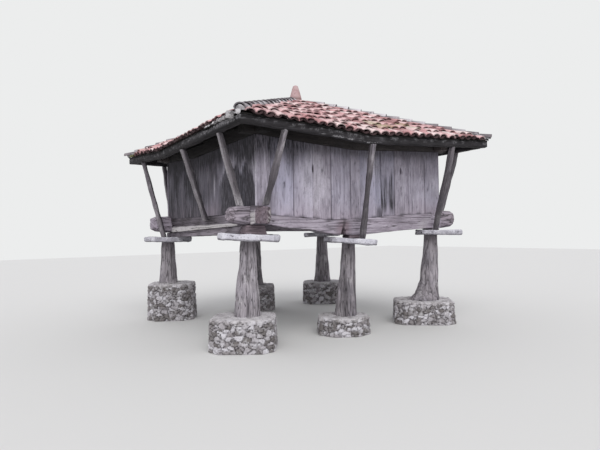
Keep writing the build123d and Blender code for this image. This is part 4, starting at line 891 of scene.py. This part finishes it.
def buildSlope(side, seed):
    tree, out = castTree(side + "_tiles"), facing[side]
    draw = random.Random(seed)
    across = Vector((0, 0, 1)).cross(out)
    reach, width = (edgeY, edgeX) if out.y else (edgeX, edgeY)
    columns = int(width / tile["column"]) + 1
    run = tile["course"] * tile["lap"]
    parts = []
    for column in range(-columns, columns + 1):
        slip = draw.uniform(-0.11, 0.11)
        for course, flip in product(range(tile["courses"]), (False, True)):  # flip: a channel, not a cover
            s = (column + (0.5 if flip else 0)) * tile["column"] + draw.uniform(-0.012, 0.012)
            wave = 0.05 * noiseAt(column * 0.4, course * 0.9, seed)
            distance = reach - (course + 0.5) * run - tile["overhang"] + draw.uniform(-0.025, 0.025)
            distance += (slip + wave) * min(1, course) + (0.015 if flip else -0.5 * abs(slip) * (course == 0))
            bound = abs(s) / width * reach  # how far out the hip lies here
            if bound > distance + 0.16 or distance < -0.1:
                continue
            probe = across * max(-0.98 * width, min(0.98 * width, s)) + out * distance
            inside = across * s * min(1, distance / max(bound, 0.001)) + out * max(distance, 0.01)
            hit, normal = plumb(tree, inside.x, inside.y)
            if hit is None:
                continue
            normal = normal if normal.z > 0 else -normal
            height = hit.z - tile["deep"] * (normal.normalized().z if abs(s) <= bound else 1)
            upSlope = (-out - normal * normal.dot(-out)).normalized()
            acrossTile = upSlope.cross(normal).normalized()
            lift = tile["channelLift" if flip else "coverLift"] - (0.014 if course == 0 else 0)
            droop = 4.5 if course == 0 and not flip else 0
            tilt = turnedBy(-4.2 + droop + draw.uniform(-2.4, 1.8), "X")
            yaw = turnedBy(draw.uniform(-5, 5), "Z")
            roll = turnedBy(draw.uniform(-6, 6), "Y")
            size = Matrix.Scale(draw.uniform(0.93, 1.06), 4)
            if flip:
                size = Matrix.Diagonal((1, -1, -1, 1)) @ size
                tone = draw.uniform(-0.05, 0.25)
            else:
                tone = draw.choice(tile["tones"]) + draw.uniform(-0.05, 0.05)
            # painted shade: the front slope darker towards its right, the other slopes darker all over
            tone -= 0.05 * ease(0.3, 1.6, s) if side == "front" else 0.1
            place = Vector((probe.x, probe.y, height)) + normal * lift
            matrix = onFrame(place, acrossTile, upSlope, normal) @ yaw @ tilt @ roll @ size
            # the eave row's channels are painted dark with shade; the other channels get a little grime
            dirtAndShade = (0.95 if course == 0 else 0.12) if flip else 0.0
            parts.append(laid(cover, matrix, tone, mossAt(side, place), dirtAndShade, -1 if flip else 1))
    piece = joinParts(parts, side + "TileCourses")
    for sign in (-1, 1):  # cut along both hips
        hip = (out * reach + across * sign * width).normalized()
        away = Vector((0, 0, 1)).cross(hip) * sign
        if away.dot(across * sign) < 0:
            away = -away
        openMesh(piece)
        bpy.ops.mesh.bisect(plane_co=away * 0.01, plane_no=away, clear_outer=True, use_fill=True)
        closeMesh()
    hand(piece, tileClay, "roof_tile", side + "_tiles")


for number, side in enumerate(facing):
    buildSlope(side, tile["seed"] + number)
print("granary: tile courses")

# Hip tiles: a row of larger covers bedded on mortar down each hip; the near corner has lost its last tile's end
hipTile = {"half": 0.100, "length": 0.41, "thick": 0.020, "taper": 0.78, "flat": 0.8, "course": 0.30, "start": 0.64,
           "nearStart": 1.04, "deep": 0.075, "tilt": -4.6, "seed": 401}
hipCover = modelTile("hipCover", hipTile)
hipTree = castTree("hip_tiles")


def buildHips():
    draw = random.Random(hipTile["seed"])
    parts = []
    for signX, signY in product((-1, 1), (-1, 1)):
        corner = Vector((signX * edgeX, signY * edgeY, 0))
        steps = int(corner.length / hipTile["course"])
        start = hipTile["nearStart" if signX + signY == -2 else "start"]
        for step in range(steps):
            share = 1 - (step + start) / (steps + 0.4)
            if corner.length * share < 0.26:
                continue
            spots = [corner * min(reach, 0.985) for reach in (share - 0.03, share + 0.03)]
            upper, lower = [plumb(hipTree, spot.x, spot.y)[0] for spot in spots]
            if upper is None or lower is None:
                continue
            upHip = (upper - lower).normalized()
            acrossHip = upHip.cross(Vector((0, 0, 1))).normalized()
            normal = acrossHip.cross(upHip)
            tilt = turnedBy(hipTile["tilt"] + draw.uniform(-1.2, 0.8), "X")
            yaw = turnedBy(draw.uniform(-4, 4), "Z")
            worn = 0.35 * ease(0.4, 0.9, share)
            matrix = onFrame((upper + lower) / 2 - normal * hipTile["deep"], acrossHip, upHip, normal) @ yaw @ tilt
            parts.append(laid(hipCover, matrix, draw.uniform(0.4, 0.95) - worn, 0.0, worn * 0.8, gap=1.8))
    hand(joinParts(parts, "hipTileRows"), hipClay, "hip_tile", "hip_tiles")


buildHips()

# Mortar bed under the hip tiles, thicker at the corners, where it has crumbled over the first courses
bed = {"voxel": 0.034, "sink": 0.038, "swell": 0.012, "foot": 0.035, "inset": 0.05}
bedMortar = grittySurface("crumbledLimeMortar", stoneGround, {
    "dark": "#6f6b6d", "mid": "#a3a0a2", "light": "#d0cdcf", "lichen": "#dcdadb", "joint": "#3d3a3c",
    "mortar": "#b3b0b2", "deep": "#363335"})
mortar = copyOf("hip_tiles", "hipMortarBed")
remesh(mortar, bed["voxel"])


def sagged(p, n):
    atFoot = ease(0.84, 0.93, min(abs(p.x) / edgeX, abs(p.y) / edgeY))
    bulge = bed["swell"] + bed["foot"] * atFoot * ease(0.9, 0.2, abs(n.z))
    bulge += 0.018 * noise.noise(p * 7) + 0.010 * noise.noise(p * 19)
    place = p + n * bulge - Vector((0, 0, bed["sink"] - 0.012 * atFoot))
    place.x = max(bed["inset"] - edgeX, min(edgeX - bed["inset"], place.x))
    place.y = max(bed["inset"] - edgeY, min(edgeY - bed["inset"], place.y))
    return place, (0.15 + 0.35 * noise.noise(p * 6) + 0.12 * atFoot, 0.9 * ease(0.1, 0.45, noise.noise(p * 12)), 0.2)


reshape(mortar, ("tone", "joint", "cap"), sagged)
hand(mortar, bedMortar, "hip_tile")

# Mortar packed under the first course of the left slope, from the near corner on
packing = {"start": -3.22, "end": -1.9, "out": 3.225, "wide": 0.11, "high": 0.085, "edge": -3.308, "voxel": 0.022,
           "thinning": 0.7, "least": 0.2, "lift": 0.012, "beam": -3.165}
bpy.ops.mesh.primitive_cube_add(size=1, location=(-packing["out"], (packing["start"] + packing["end"]) / 2, 0))
packed = bpy.context.active_object
packed.name = "eavePackingMortar"
packed.scale = (packing["wide"], packing["end"] - packing["start"], packing["high"])
bpy.ops.object.transform_apply(location=True, scale=True)
remesh(packed, packing["voxel"])


def pressed(p, n):
    top = plumb(eaveTree, packing["beam"], max(-3.1, p.y))[0].z + packing["lift"]
    thin = ease(packing["end"], packing["end"] - packing["thinning"], p.y) * (0.75 + 1.2 * noiseAt(p.y * 6, 0, 3))
    thin = max(packing["least"], thin)
    rough = 0.022 * noise.noise(p * 13) + 0.016 * noise.noise(p * 27)
    x = (p.x + packing["out"]) * thin - packing["out"] + rough
    place = Vector((max(packing["edge"], x), p.y, top + p.z * thin + rough))
    return place, (0.4 + 0.6 * noise.noise(place * 7), 0.9 * ease(0.12, 0.35, noise.noise(place * 15)), 0.2)


reshape(packed, ("tone", "joint", "cap"), pressed)
hand(packed, bedMortar, "hip_tile")

# Finial: a hollow clay cone set in mortar, slightly uneven
cone = {"voxel": 0.014, "uneven": 0.006, "mortarTop": 5.45, "mortarFoot": 5.36}
finial = copyOf("roof_finial", "roofFinialCone")
remesh(finial, cone["voxel"])
for vertex in finial.data.vertices:  # each normal is read after the points before it have moved
    vertex.co += vertex.normal * cone["uneven"] * noise.noise(vertex.co * 8)
reshape(finial, ("tone", "tail", "moss"), lambda p, n: (
    p, (0.3 + 0.2 * noise.noise(p * 5), 0.6 * ease(cone["mortarTop"], cone["mortarFoot"], p.z), 0.0)))
hand(finial, finialClay, "finial_clay", "roof_finial")
for source in (cover, hipCover):
    bpy.data.objects.remove(source)
print("granary: hips and finial")

# Sawn roof and floor timbers that stay in the shade, painted near black with that shade
shadedWood = weatheredWood("sawnChestnutRafter", {
    "dark": "#0e0d0d", "mid": "#171515", "light": "#272422", "deep": "#090808", "fibre": 0.016, "run": 0.06,
    "patch": 1.6, "spread": 0.15, "check": 0.3, "fleck": 0.4, "bump": 0.5, "relief": 0.006}, ownGrain=False)
for nodeName in ("roof_rafters", "roof_boarding", "floor_joists", "floor_boards"):
    node = nodes[nodeName]
    node.data.materials.clear()
    node.data.materials.append(shadedWood)
print("granary: roof and floor timbers")
